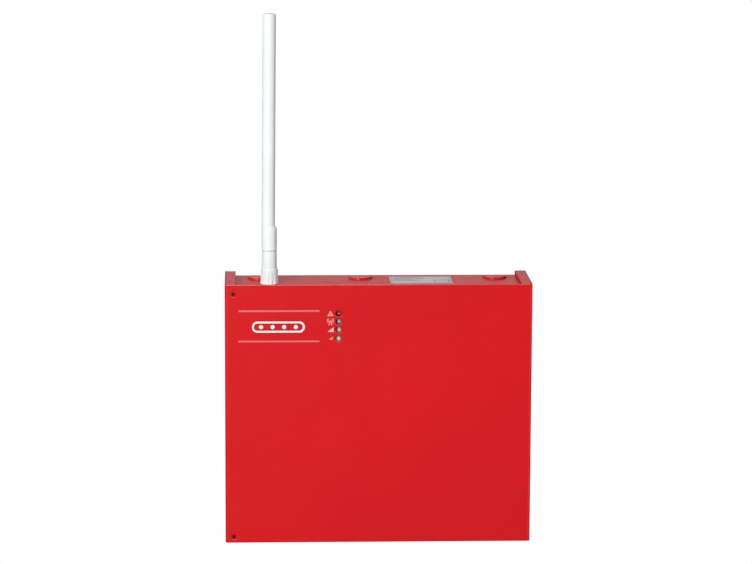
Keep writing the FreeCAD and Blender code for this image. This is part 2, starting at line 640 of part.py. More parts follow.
def make_lamp(name, label, height):
    """Domed 5 mm lamp standing on its flange, facing out of the cover."""
    body = new_body(name, ("led_x", LAMP_FACE, height), FRONT)
    profile = new_sketch(body, name + "Profile", "XZ_Plane")
    outline(profile, [
        ("0", "0"), ("led_flange", "0"), ("led_flange", "led_foot"),
        ("led_radius", "led_foot"), ("led_radius", "led_length"), ("0", "led_length")])
    revolve(body, name + "Turned", profile)
    length = value("led_length")
    rounded(body, name + "Dome", "led_radius - 0.1", lambda middle, direction: (
        abs(middle.z - length) < 0.01 and abs(direction.z) < 0.01))
    node(body, label)


def make_lamp_board():
    """Small board that carries the lamps on two tall posts from the main board."""
    face = LAMP_FACE
    plate = block("LampPlate", ("led_x - strip_reach", face, "strip_low"),
                  ("strip_wide", "board_thick", "strip_tall"))
    across = "led_x + post_reach"
    rear = face + " + board_thick"
    holes, posts, screws = [], [], []
    for height in ("post_low", "post_high"):
        holes.append(rod("LampFix", (across, rear + " + past", height), "fix_radius",
                         "board_thick + 2 * past", FRONT))
        length = "(%s) - (%s)" % (BOARD, rear)
        post = hexagon("PostPrism", (across, BOARD, height), "standoff_flats", length, FRONT)
        bore = rod("PostBore", (across, rear + " + post_thread", height), "thread_radius",
                   "post_thread + past", FRONT)
        posts.append(cut("Post", post, [bore]))
        screws.append(pan_screw("LampScrew", across, height, face, "post_thread"))
    node(cut("LampBoard", plate, holes), "indicator_board")
    node(group("LampPosts", posts), "indicator_posts", 2)
    node(group("LampScrews", screws), "indicator_screws", 2)


def pan_screw(name, across, height, face, length):
    """M3 pan-head screw whose head sits on a board face and faces -Y."""
    head = rod(name + "Head", (across, face, height), "pan_radius", "pan_tall", FRONT)
    shaft = rod(name + "Shaft", (across, "%s + %s" % (face, length), height), "pan_shaft",
                length, FRONT)
    corner = (across + " - slot_half", face + " - pan_tall - past", height + " - pan_slot / 2")
    slot = block(name + "Slot", corner, ("2 * slot_half", "pan_slot + past", "pan_slot"))
    return cut(name, join(name + "Blank", [head, shaft]), [slot])


# ---- Main board -----------------------------------------------------------

def make_main_board():
    body = new_body("MainBoard", ("0", "-sheet - standoff", "0"), FRONT)
    face = new_sketch(body, "BoardFace")
    right, top = "board_left + board_wide", "board_low + board_tall"
    outline(face, [("board_left", "board_low"), (right, "board_low"), (right, top),
                   ("board_left", top)])
    pad(body, "BoardPlate", face, "board_thick")
    for level in range(2):
        spot = new_sketch(body, "FixCircle%d" % level)
        ring(spot, "fix_left", shifted("fix_low", "fix_pitch_z", level), "fix_radius")
        hole = pocket(body, "FixHole%d" % level, spot, "board_thick")
        row_of(body, "FixRow%d" % level, hole, "X_Axis", "2 * fix_pitch_x", 3)
    node(body, "main_board")
    standoffs, screws = [], []
    for column in range(3):
        for level in range(2):
            across = shifted("fix_left", "fix_pitch_x", column)
            height = shifted("fix_low", "fix_pitch_z", level)
            prism = hexagon("StandoffPrism", (across, BACK, height), "standoff_flats",
                            "standoff", FRONT)
            bore = rod("StandoffBore", (across, BACK + " - standoff + standoff_thread", height),
                       "thread_radius", "standoff_thread", FRONT)
            standoffs.append(cut("Standoff", prism, [bore]))
            screws.append(pan_screw("BoardScrew", across, height, BOARD, "board_screw"))
    node(group("Standoffs", standoffs), "board_standoffs", 6)
    node(group("BoardScrews", screws), "board_screws", 6)


def on_board(name, left, low, size):
    """Block standing on the front face of the main board."""
    wide, deep, tall = size
    return block(name, (left, "%s - (%s)" % (BOARD, deep), low), (wide, deep, tall))


def make_radio():
    """Radio module: its own thin board and a pressed shielding can."""
    base = on_board("RadioBase", "radio_left", "radio_low",
                    ("radio_wide", "radio_thick", "radio_tall"))
    node(base, "radio_module")
    front = BOARD + " - radio_thick - can_deep"
    can = block("CanOuter", ("can_left", front, "can_low"), ("can_wide", "can_deep", "can_tall"))
    corner = ("can_left + can_wall", front + " + can_wall", "can_low + can_wall")
    room = block("CanRoom", corner, ("can_wide - 2 * can_wall", "can_deep - can_wall",
                                     "can_tall - 2 * can_wall"))
    node(cut("RadioCan", can, [room]), "radio_shield_can")
    place = ("seat_x", BOARD + " - radio_thick", "seat_z")
    node(rod("CoaxSeat", place, "seat_radius", "seat_radius", FRONT), "coax_receptacle")


def make_card_holder():
    """Card holder with two lugs, the card and the lid hinged between the lugs."""
    front = BOARD + " - sim_thick"
    base = on_board("HolderBase", "sim_left", "sim_low", ("sim_wide", "sim_thick", "sim_tall"))
    edge = "(sim_wide - card_wide) / 2"
    sill = "(sim_tall - card_tall) / 2"
    pit = block("HolderPit", ("sim_left + %s - card_play" % edge, front + " - past",
                              "sim_low + %s - card_play" % sill),
                ("card_wide + 2 * card_play", "pit_deep + past", "card_tall + 2 * card_play"))
    lugs, holes = [], []
    pivot = ("sim_left - pivot_out", BOARD + " - pivot_rise")
    for low in ("sim_low + 4", "sim_low + 13"):
        lugs.append(block("Lug", ("sim_left - 2", BOARD + " - 3.1", low), ("2", "3.1", "2")))
        holes.append(rod("LugHole", pivot + (low + " - 1",), "0.46", "4"))
    body = cut("CardHolder", join("HolderBlank", [base] + lugs), [pit] + holes)
    node(body, "sim_holder")
    place = ("sim_left + " + edge, front + " + pit_deep - card_thick", "sim_low + " + sill)
    node(block("Card", place, ("card_wide", "card_thick", "card_tall")), "sim_card")
    face = front + " - lid_thick - lid_gap"
    plate = block("LidPlate", ("sim_left + lid_short", face, "sim_low"),
                  ("sim_wide - lid_short", "lid_thick", "sim_tall"))
    tongue = block("LidTongue", ("sim_left - pivot_out", face, "sim_low + knuckle_rise"),
                   ("2", "lid_thick", "knuckle_long"))
    knuckle = rod("LidKnuckle", pivot + ("sim_low + knuckle_rise",), "knuckle_radius",
                  "knuckle_long")
    pin = rod("LidPin", pivot + ("sim_low + 4.2",), "0.4", "10.6")
    window = block("LidWindow", ("sim_left + 9", front + " - 1", "sim_low + 4.5"),
                   ("14", "2", "10"))
    node(cut("CardLid", join("LidBlank", [plate, tongue, knuckle, pin]), [window]), "sim_lid")


def make_terminals(name, label, left, ways):
    """Row of screw terminals with wire mouths below and screw wells in front."""
    body = new_body(name, (left, BOARD, "term_low"))
    face = new_sketch(body, name + "Face")
    outline(face, [("0", "-term_deep"), ("term_pitch * %d" % ways, "-term_deep"),
                   ("term_pitch * %d" % ways, "0"), ("0", "0")])
    pad(body, name + "Block", face, "term_tall")
    mouth = new_sketch(body, name + "Mouth")
    near, far = "term_pitch / 2 - mouth_half", "term_pitch / 2 + mouth_half"
    outline(mouth, [(near, "-mouth_front"), (far, "-mouth_front"), (far, "-mouth_rear"),
                    (near, "-mouth_rear")])
    length = "term_pitch * %d" % (ways - 1)
    entry = pocket(body, name + "Entry", mouth, "mouth_deep")
    row_of(body, name + "Entries", entry, "X_Axis", length, ways)
    well = new_sketch(body, name + "Well", "XZ_Plane", lift="term_deep - well_deep")
    ring(well, "term_pitch / 2", "term_tall / 2", "well_radius")
    shaft = pocket(body, name + "Shaft", well, "well_deep + past")
    row_of(body, name + "Shafts", shaft, "X_Axis", length, ways)
    node(body, label)
    screws = []
    for number in range(ways):
        across = "%s + term_pitch * %s" % (left, number + 0.5)
        height = "term_low + term_tall / 2"
        place = (across, BOARD + " - term_deep + well_deep", height)
        head = rod(name + "Screw", place, "term_screw", "term_screw_tall", FRONT)
        corner = (across + " - slot_half", BOARD + " - term_deep + past",
                  height + " - term_slot / 2")
        slot = block(name + "Slot", corner, ("2 * slot_half", "past", "term_slot"))
        screws.append(cut(name + "ScrewCut", head, [slot]))
    return screws


def make_components():
    """Relays, capacitors, inductor, chips, fuse and headers of the main board."""
    size = ("relay_wide", "relay_wide", "relay_tall")
    relays = [on_board("Relay", left, "relay_low", size) for left in ("40", "64")]
    node(group("Relays", relays), "alarm_relays", 2)
    cans = []
    for across in ("2", "15", "28"):
        place = (across, BOARD, "drum_level")
        cans.append(rod("CapacitorCan", place, "drum_radius", "drum_tall", FRONT))
    node(group("Capacitors", cans), "filter_capacitors", 3)
    size = ("coil_wide", "coil_deep", "coil_wide")
    node(on_board("Inductor", "coil_left", "coil_low", size), "power_inductor")
    size = ("chip_wide", "chip_thick", "chip_wide")
    node(on_board("Processor", "chip_left", "chip_low", size), "processor_chip")
    size = ("driver_wide", "driver_thick", "driver_tall")
    chips = [on_board("Driver", left, "driver_low", size) for left in ("-20", "-4", "12")]
    node(group("Drivers", chips), "interface_chips", 3)
    clips = []
    for left in ("62", "79"):
        clip = on_board("ClipBlock", left, "clip_low", ("clip_wide", "clip_deep", "clip_tall"))
        place = ("fuse_left - 2 * past", BOARD + " - fuse_lift", "fuse_level")
        bore = rod("ClipBore", place, "fuse_radius + fuse_play", "fuse_long + 4 * past", RIGHT)
        clips.append(cut("FuseClip", clip, [bore]))
    node(group("FuseClips", clips), "fuse_clips", 2)
    place = ("fuse_left", BOARD + " - fuse_lift", "fuse_level")
    node(rod("Fuse", place, "fuse_radius", "fuse_long", RIGHT), "glass_fuse")
    base = on_board("ButtonBase", "button_x - button_wide / 2", "button_z - button_wide / 2",
                    ("button_wide", "button_deep", "button_wide"))
    place = ("button_x", BOARD + " - button_well", "button_z")
    well = rod("ButtonWell", place, "button_radius", "button_well", FRONT)
    node(cut("ServiceButton", base, [well]), "service_button_base")
    place = ("button_x", BOARD + " - button_lift", "button_z")
    cap = rod("ButtonCap", place, "button_radius - button_play", "button_long", FRONT)
    node(cap, "service_button_cap")


def make_headers():
    """Ribbon headers on the two boards and the flat cable between them."""
    left = "led_x - header_reach"
    size = ("2 * header_reach", "header_deep", "header_tall")
    lower = on_board("HeaderMain", left, "header_low", size)
    rear = LAMP_FACE + " + board_thick"
    upper = block("HeaderLamp", (left, rear, "header_high"), size)
    node(group("Headers", [lower, upper]), "ribbon_headers", 2)
    lamps = value("led_length") - value("led_proud") - value("cab_depth")
    board = -value("sheet") - value("standoff") - value("board_thick")
    reach = value("header_deep") + value("ribbon_gap")
    middle = value("header_tall") / 2
    start = V(value("led_x"), lamps + value("board_thick") + reach, value("header_high") + middle)
    finish = V(value("led_x"), board - reach, value("header_low") + middle)
    path = smooth_path([start, start + V(0, 7, -1.5), V(start.x, -38, 58),
                        finish + V(0, -7, 1.5), finish], V(0, 1, 0), V(0, 1, 0))
    wire = Part.Wire([path.toShape()])
    tangent = path.tangent(path.FirstParameter)[0]
    side = tangent.cross(V(1, 0, 0)).normalize()
    half, thick = value("ribbon_half"), value("ribbon_thick") / 2
    corners = [start + V(a * half, 0, 0) + side * b * thick
               for a, b in ((-1, -1), (1, -1), (1, 1), (-1, 1), (-1, -1))]
    ribbon = doc.addObject("Part::Feature", "Ribbon")
    ribbon.Shape = wire.makePipeShell([Part.makePolygon(corners)], True, True)
    node(ribbon, "indicator_ribbon")


# ---- Wires ----------------------------------------------------------------

def smooth_path(points, leaving, arriving):
    """Smooth curve through points, with its direction set at both ends."""
    path = Part.BSplineCurve()
    path.interpolate(Points=points, InitialTangent=leaving, FinalTangent=arriving)
    return path


def wire_shape(points, radius, leaving, arriving):
    """Round wire along a smooth path."""
    path = smooth_path(points, leaving, arriving)
    tangent = path.tangent(path.FirstParameter)[0]
    ring_edge = Part.Circle(points[0], tangent, radius).toShape()
    return Part.Wire([path.toShape()]).makePipeShell([Part.Wire([ring_edge])], True, False)


def free_shape(name, shapes, label, count=1):
    item = doc.addObject("Part::Feature", name)
    item.Shape = shapes[0] if count == 1 else Part.Compound(shapes)
    node(item, label, count)


def make_wires():
    roof = value("cab_height") / 2 - value("top_step") - value("sheet")
    board = -value("sheet") - value("standoff") - value("board_thick")
    jack_end = value("jack_flange") + value("tail_long")
    jack = V(value("ant_x"), value("ant_y"), roof - jack_end)
    seat_end = value("radio_thick") + value("seat_radius")
    seat = V(value("seat_x"), board - seat_end, value("seat_z"))
    coax = [jack, jack + V(2, 2, -8), V(-84, -36, 92), V(-60, -25, 86), seat]
    coax_wire = wire_shape(coax, value("coax_radius"), V(0, 0, -1), V(0, 1, 0))
    free_shape("Coax", [coax_wire], "antenna_coax")
    mouth_y = board - 4.5
    mouth_z = value("term_low") + 3
    floor = value("sheet") - value("cab_height") / 2
    tab_top = floor + value("bat_tall") + value("tab_tall")
    for label, spot, way in (("battery_lead_black", "tab_left", 0.5),
                             ("battery_lead_red", "tab_right", 1.5)):
        across = value(spot)
        end_x = value("term_power_left") + value("term_pitch") * way
        start = V(across, value("tab_y"), tab_top + 1.2)
        reach = end_x - across
        points = [start, start + V(reach * 0.15, 3, 4), V(across + reach * 0.6, -24, -13.5),
                  V(end_x, mouth_y, mouth_z - 8), V(end_x, mouth_y, mouth_z)]
        wire = wire_shape(points, value("lead_radius"), V(0, 0, 1), V(0, 0, 1))
        boot = Part.makeBox(7.4, 3.6, 8.2, V(across - 3.7, value("tab_y") - 1.8, tab_top - 6.2))
        wide, thick = value("tab_wide") + 0.2, value("tab_thick") + 0.2
        slot = Part.makeBox(wide, thick, 7.4,
                            V(across - wide / 2, value("tab_y") - thick / 2, tab_top - 7.3))
        free_shape(label.title(), [boot.cut(slot).fuse(wire).removeSplitter()], label)
    stud = V(value("earth_x"), 0, value("earth_z"))
    lug_y = -value("sheet")
    flat, tongue = value("lug_thick"), value("lug_wide")
    lug = Part.makeCylinder(value("lug_radius"), flat, V(stud.x, lug_y, stud.z), V(0, -1, 0))
    foot = V(stud.x - tongue / 2, lug_y - flat, stud.z - 10)
    lug = lug.fuse(Part.makeBox(tongue, flat, 8, foot))
    hole = Part.makeCylinder(value("stud_bore"), 2, V(stud.x, lug_y + 0.5, stud.z), V(0, -1, 0))
    end_x = value("term_power_left") + value("term_pitch") * 3.5
    points = [V(stud.x, lug_y - 1.2, stud.z - 9), V(stud.x, lug_y - 2, stud.z - 16),
              V(104, -12, 2), V(70, -16, -15), V(end_x + 3, mouth_y, mouth_z - 9),
              V(end_x, mouth_y, mouth_z)]
    wire = wire_shape(points, value("lead_radius"), V(0, 0, -1), V(0, 0, 1))
    ground = lug.cut(hole).fuse(wire).removeSplitter()
    free_shape("GroundWire", [ground], "ground_wire")
    pair = []
    for number in (0, 1):
        offset = number * value("wire_apart")
        middle = value("tamper_back") - value("cab_depth") + 9
        across = value("tamper_x") - value("wire_apart") / 2 + offset
        start = V(across, middle, tamper_foot())
        end_x = value("term_zone_left") + value("term_pitch") * (0.5 + number)
        points = [start, V(-114 + offset, -46, -28), V(-76 + offset, -26, -20),
                  V(end_x, mouth_y, mouth_z - 8), V(end_x, mouth_y, mouth_z)]
        pair.append(wire_shape(points, value("signal_radius"), V(0, 0, -1), V(0, 0, 1)))
    free_shape("TamperWires", pair, "tamper_wires", 2)


def tamper_foot():
    return value("tamper_z") - value("tamper_tall") / 2


# ---- Battery --------------------------------------------------------------

def make_battery():
    """Sealed battery standing on the floor, with a lid, tabs and a holding strap."""
    body = new_body("BatteryCase", ("bat_left", "-sheet", FLOOR))
    base = new_sketch(body, "CaseBase")
    outline(base, [("0", "-bat_deep"), ("bat_wide", "-bat_deep"), ("bat_wide", "0"), ("0", "0")])
    pad(body, "CaseBlock", base, "bat_tall - bat_lid")
    rounded(body, "CaseCorners", "case_round", lambda middle, direction: abs(direction.z) > 0.99)
    node(body, "battery_case")
    lid = new_body("BatteryLid", ("bat_left", "-sheet", FLOOR + " + bat_tall - bat_lid"))
    face = new_sketch(lid, "LidBase")
    near, far = "lid_inset - bat_deep", "-lid_inset"
    right = "bat_wide - lid_inset"
    outline(face, [("lid_inset", near), (right, near), (right, far), ("lid_inset", far)])
    pad(lid, "LidBlock", face, "bat_lid")
    rounded(lid, "LidCorners", "case_round", lambda middle, direction: abs(direction.z) > 0.99)
    node(lid, "battery_lid")
    tabs = []
    for spot in ("tab_left", "tab_right"):
        place = (spot + " - tab_wide / 2", "tab_y - tab_thick / 2", FLOOR + " + bat_tall")
        tabs.append(block("Tab", place, ("tab_wide", "tab_thick", "tab_tall")))
    node(group("BatteryTabs", tabs), "battery_tabs", 2)


def make_strap():
    """Bent strap round the battery, held on weld studs in the back panel."""
    body = new_body("Strap", ("0", "0", "strap_low"))
    shape = new_sketch(body, "StrapShape")
    left, right = "bat_left", "bat_left + bat_wide"
    near = "-sheet - bat_deep"
    outline(shape, [
        (left + " - sheet - strap_foot", "-2 * sheet"), (left + " - sheet", "-2 * sheet"),
        (left + " - sheet", near + " - sheet"), (right + " + sheet", near + " - sheet"),
        (right + " + sheet", "-2 * sheet"), (right + " + sheet + strap_foot", "-2 * sheet"),
        (right + " + sheet + strap_foot", "-sheet"), (right, "-sheet"), (right, near),
        (left, near), (left, "-sheet"), (left + " - sheet - strap_foot", "-sheet")])
    pad(body, "StrapBand", shape, "strap_tall")
    holes = new_sketch(body, "StrapHoles", "XZ_Plane")
    for across in strap_studs():
        ring(holes, across, "strap_tall / 2", "strap_hole")
    pocket(body, "StrapHolePocket", holes, "3 * sheet")
    node(body, "battery_strap")


def strap_studs():
    foot = "strap_foot / 2 + sheet"
    return ("bat_left - (%s)" % foot, "bat_left + bat_wide + %s" % foot)


def make_studs():
    """Weld studs of the back panel with their nuts: two for the strap, one for earth."""
    middle = "strap_low + strap_tall / 2"
    left, right = strap_studs()
    spots = ((left, middle, "sheet"), (right, middle, "sheet"),
             ("earth_x", "earth_z", "lug_thick"))
    studs, nuts = [], []
    for across, height, under in spots:
        studs.append(rod("WeldStud", (across, BACK, height), "stud_radius", "stud_long",
                         FRONT))
        place = (across, "%s - %s" % (BACK, under), height)
        prism = hexagon("StudNutPrism", place, "stud_flats", "stud_nut", FRONT)
        bore = rod("StudNutBore", place, "stud_bore", "stud_nut", FRONT)
        nuts.append(cut("StudNut", prism, [bore]))
    node(group("WeldStuds", studs), "weld_studs", 3)
    node(group("StudNuts", nuts), "stud_nuts", 3)


# ---- Tamper switch --------------------------------------------------------

def make_tamper():
    """Switch on a bracket from the left wall; its plunger rests against the cover."""
    low = "tamper_z - tamper_tall / 2"
    rear = TAMPER + " + tamper_deep"
    wall = "sheet - cab_width / 2"
    reach = "tamper_x + bracket_past - (%s)" % wall
    arm = block("BracketArm", (wall, rear, low), (reach, "sheet", "tamper_tall"))
    foot = block("BracketFoot", (wall, rear, low), ("sheet", "bracket_foot", "tamper_tall"))
    node(join("TamperBracket", [arm, foot]), "tamper_bracket")
    left = "tamper_x - tamper_wide / 2"
    case = block("SwitchCase", (left, TAMPER, low),
                 ("tamper_wide", "tamper_deep", "tamper_tall"))
    bore = rod("SwitchBore", ("tamper_x", TAMPER + " + tamper_well", "tamper_z"),
               "plunger_radius + plunger_play", "tamper_well + past", FRONT)
    node(cut("TamperSwitch", case, [bore]), "tamper_switch")
    length = "tamper_back + plunger_deep - sheet - plunger_gap"
    plunger = rod("Plunger", ("tamper_x", TAMPER + " + plunger_deep", "tamper_z"),
                  "plunger_radius", length, FRONT)
    node(plunger, "tamper_plunger")


# ---- Build, test and write ------------------------------------------------

make_backbox()
make_hinge_pins()
make_lip_nuts()
make_rating_label()
make_cover()
make_cover_screw("TopScrew", "cover_screw_top", "screw_top")
make_cover_screw("BottomScrew", "cover_screw_bottom", "screw_bottom")
make_jack()
make_collar()
make_sleeves()
make_whip()
LAMPS = ("led_trouble", "led_radio", "led_signal_high", "led_signal_low")
for lamp_label, lamp_height in zip(LAMPS, lamp_heights()):
    make_lamp(lamp_label.title().replace("_", ""), lamp_label, lamp_height)
make_lamp_board()
make_main_board()
make_radio()
make_card_holder()
terminal_screws = make_terminals("PowerRow", "power_terminals", "term_power_left", 6)
terminal_screws += make_terminals("ZoneRow", "zone_terminals", "term_zone_left", 10)
node(group("TerminalScrews", terminal_screws), "terminal_screws", 16)
make_components()
make_headers()
make_wires()
make_battery()
make_strap()
make_studs()
make_tamper()
doc.recompute()

faults = []
for item in doc.Objects:
    if "Invalid" in item.State or "Error" in item.State:
        faults.append("%s failed" % item.Label)
for item, count in nodes:
    shape = item.Shape
    if shape.isNull() or not shape.isValid():
        faults.append("%s has no valid shape" % item.Label)
    elif len(shape.Solids) != count:
        faults.append("%s has %d solids, not %d" % (item.Label, len(shape.Solids), count))
if faults:
    sys.exit("\n".join(faults))

os.makedirs("parts", exist_ok=True)
for item, count in nodes:
    item.Shape.exportStep("parts/%s.step" % item.Label)
print("%d nodes written" % len(nodes))
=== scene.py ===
import math

import bmesh
import bpy
from mathutils import Matrix, Vector


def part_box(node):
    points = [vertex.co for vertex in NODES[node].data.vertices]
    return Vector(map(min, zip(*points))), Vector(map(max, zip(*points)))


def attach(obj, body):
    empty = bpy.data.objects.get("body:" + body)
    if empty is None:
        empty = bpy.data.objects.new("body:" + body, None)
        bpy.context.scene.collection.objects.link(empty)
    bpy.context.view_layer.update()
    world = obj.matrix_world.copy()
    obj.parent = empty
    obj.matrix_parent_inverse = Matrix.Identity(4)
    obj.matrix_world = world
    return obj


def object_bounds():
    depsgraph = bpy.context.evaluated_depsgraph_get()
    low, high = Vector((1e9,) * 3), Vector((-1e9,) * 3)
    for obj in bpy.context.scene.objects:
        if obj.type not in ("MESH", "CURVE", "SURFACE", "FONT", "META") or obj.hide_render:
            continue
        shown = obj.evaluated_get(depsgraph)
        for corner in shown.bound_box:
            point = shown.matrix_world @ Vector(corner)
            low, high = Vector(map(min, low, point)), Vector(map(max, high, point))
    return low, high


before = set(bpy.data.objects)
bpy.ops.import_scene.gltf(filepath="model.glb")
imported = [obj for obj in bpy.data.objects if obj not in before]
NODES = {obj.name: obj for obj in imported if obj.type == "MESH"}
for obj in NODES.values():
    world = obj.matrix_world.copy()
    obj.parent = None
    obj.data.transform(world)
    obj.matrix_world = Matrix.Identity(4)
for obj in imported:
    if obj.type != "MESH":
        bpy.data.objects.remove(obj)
cad_low, cad_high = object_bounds()

MM = 0.001


# ---- Colours and tones ------------------------------------------------------

RED = (0.60, 0.005, 0.009)
# Painted highlight on the cover's folded top edge.
FOLD_HIGHLIGHT_RED = (0.92, 0.3, 0.25)
WHITE = (0.765, 0.8, 0.795)
# Painted shade on the antenna just above the roof.
SHADED_WHITE = (0.69, 0.76, 0.76)
ZINC = (0.62, 0.62, 0.64)
NICKEL = (0.66, 0.64, 0.6)
BRASS = (0.78, 0.58, 0.27)
TIN = (0.74, 0.74, 0.73)
DULL_FOIL, BRIGHT_FOIL = (0.48, 0.46, 0.485), (0.57, 0.55, 0.57)
GREEN_BOARD = (0.01, 0.085, 0.03)
BLUE_BOARD = (0.01, 0.03, 0.13)
CARD_WHITE = (0.75, 0.75, 0.72)
BLACK = (0.018, 0.018, 0.02)
# Painted shade: the black in the cover screws' sockets.
SOCKET_SHADE = (0.012, 0.008, 0.008)
# Painted shadow of the hole's edge on the lamps' left sides.
LAMP_SHADE = (0.02, 0.008, 0.008)
INK_PINK = (0.62, 0.15, 0.145)
INK_WHITE = (0.9, 0.84, 0.82)
INK_ICON, INK_DIM_ICON = (0.82, 0.5, 0.46), (0.68, 0.3, 0.26)
INK_GREY = (0.1, 0.1, 0.11)

# Widths: the painted highlight on the cover's bent sides, the folds with painted highlight and
# painted shade, and the painted shade on the outer edges and the rear edge.
BEND_WIDE, BEND_FADE = 3.4 * MM, 0.6 * MM
FOLD_RADIUS = 1.1 * MM
EDGE_WIDE, EDGE_FADE = 1.8 * MM, 0.7 * MM
REAR_WIDE, REAR_FADE = 4.5 * MM, 2.5 * MM
HIGHLIGHT_REACH = 110.0 * MM   # how far right of the middle the painted highlight on the fold fades out
HIGHLIGHT_FAINT = 0.35         # how much of the painted highlight is left there
SOCKET_RADIUS = 1.3 * MM
UNSHADED_ABOVE, SHADED_BELOW = 34.0 * MM, 12.0 * MM   # heights on the antenna over the roof: free of painted shade above, fully in painted shade below

# Agreement of true and softened normals: on a flat face, and fully on a fold.
FLAT_DOT, FOLDED_DOT, BEVEL_SAMPLES = 0.995, 0.8, 6
# The part of a noise's range that a mottled colour is drawn from.
MOTTLE_START, MOTTLE_END = 0.3, 0.7
# Traces and pads of a circuit board: how close they stand and how unevenly.
TRACE_SCALE, PAD_SCALE, PAD_SCATTER = 95.0, 190.0, 0.35

# Brightness of the painted highlight and the painted shade on the cabinet's folds, as a share of
# the flat paint's.
BEND_HIGHLIGHT_TONE, STEP_SHADE_TONE, FOLD_SHADE_TONE, EDGE_SHADE_TONE = 1.5, 0.62, 0.45, 0.35

# From a lamp's axis: where its upper tint and its lower tint (a painted reflection of the
# red cover) are pure, and where the painted shadow on its left begins and is full.
LAMP_UPPER, LAMP_LOWER = 0.8 * MM, 1.8 * MM
LAMP_SHADE_NEAR, LAMP_SHADE_FAR = 0.5 * MM, 1.7 * MM
# Material name, upper tint, lower tint (painted reflection of the red cover) and strength of the
# painted shadow on the left of each lamp.
LAMPS = {
    "led_trouble": ("lamp_red", (0.58, 0.05, 0.05), (0.34, 0.01, 0.01), 0.95),
    "led_radio": ("lamp_clear_blue", (0.42, 0.46, 0.58), (0.3, 0.26, 0.32), 0.9),
    "led_signal_high": ("lamp_clear_grey", (0.6, 0.62, 0.54), (0.72, 0.52, 0.42), 0.85),
    "led_signal_low": ("lamp_clear_green", (0.48, 0.6, 0.5), (0.98, 0.66, 0.48), 0.45),
}


# ---- Node materials ---------------------------------------------------------

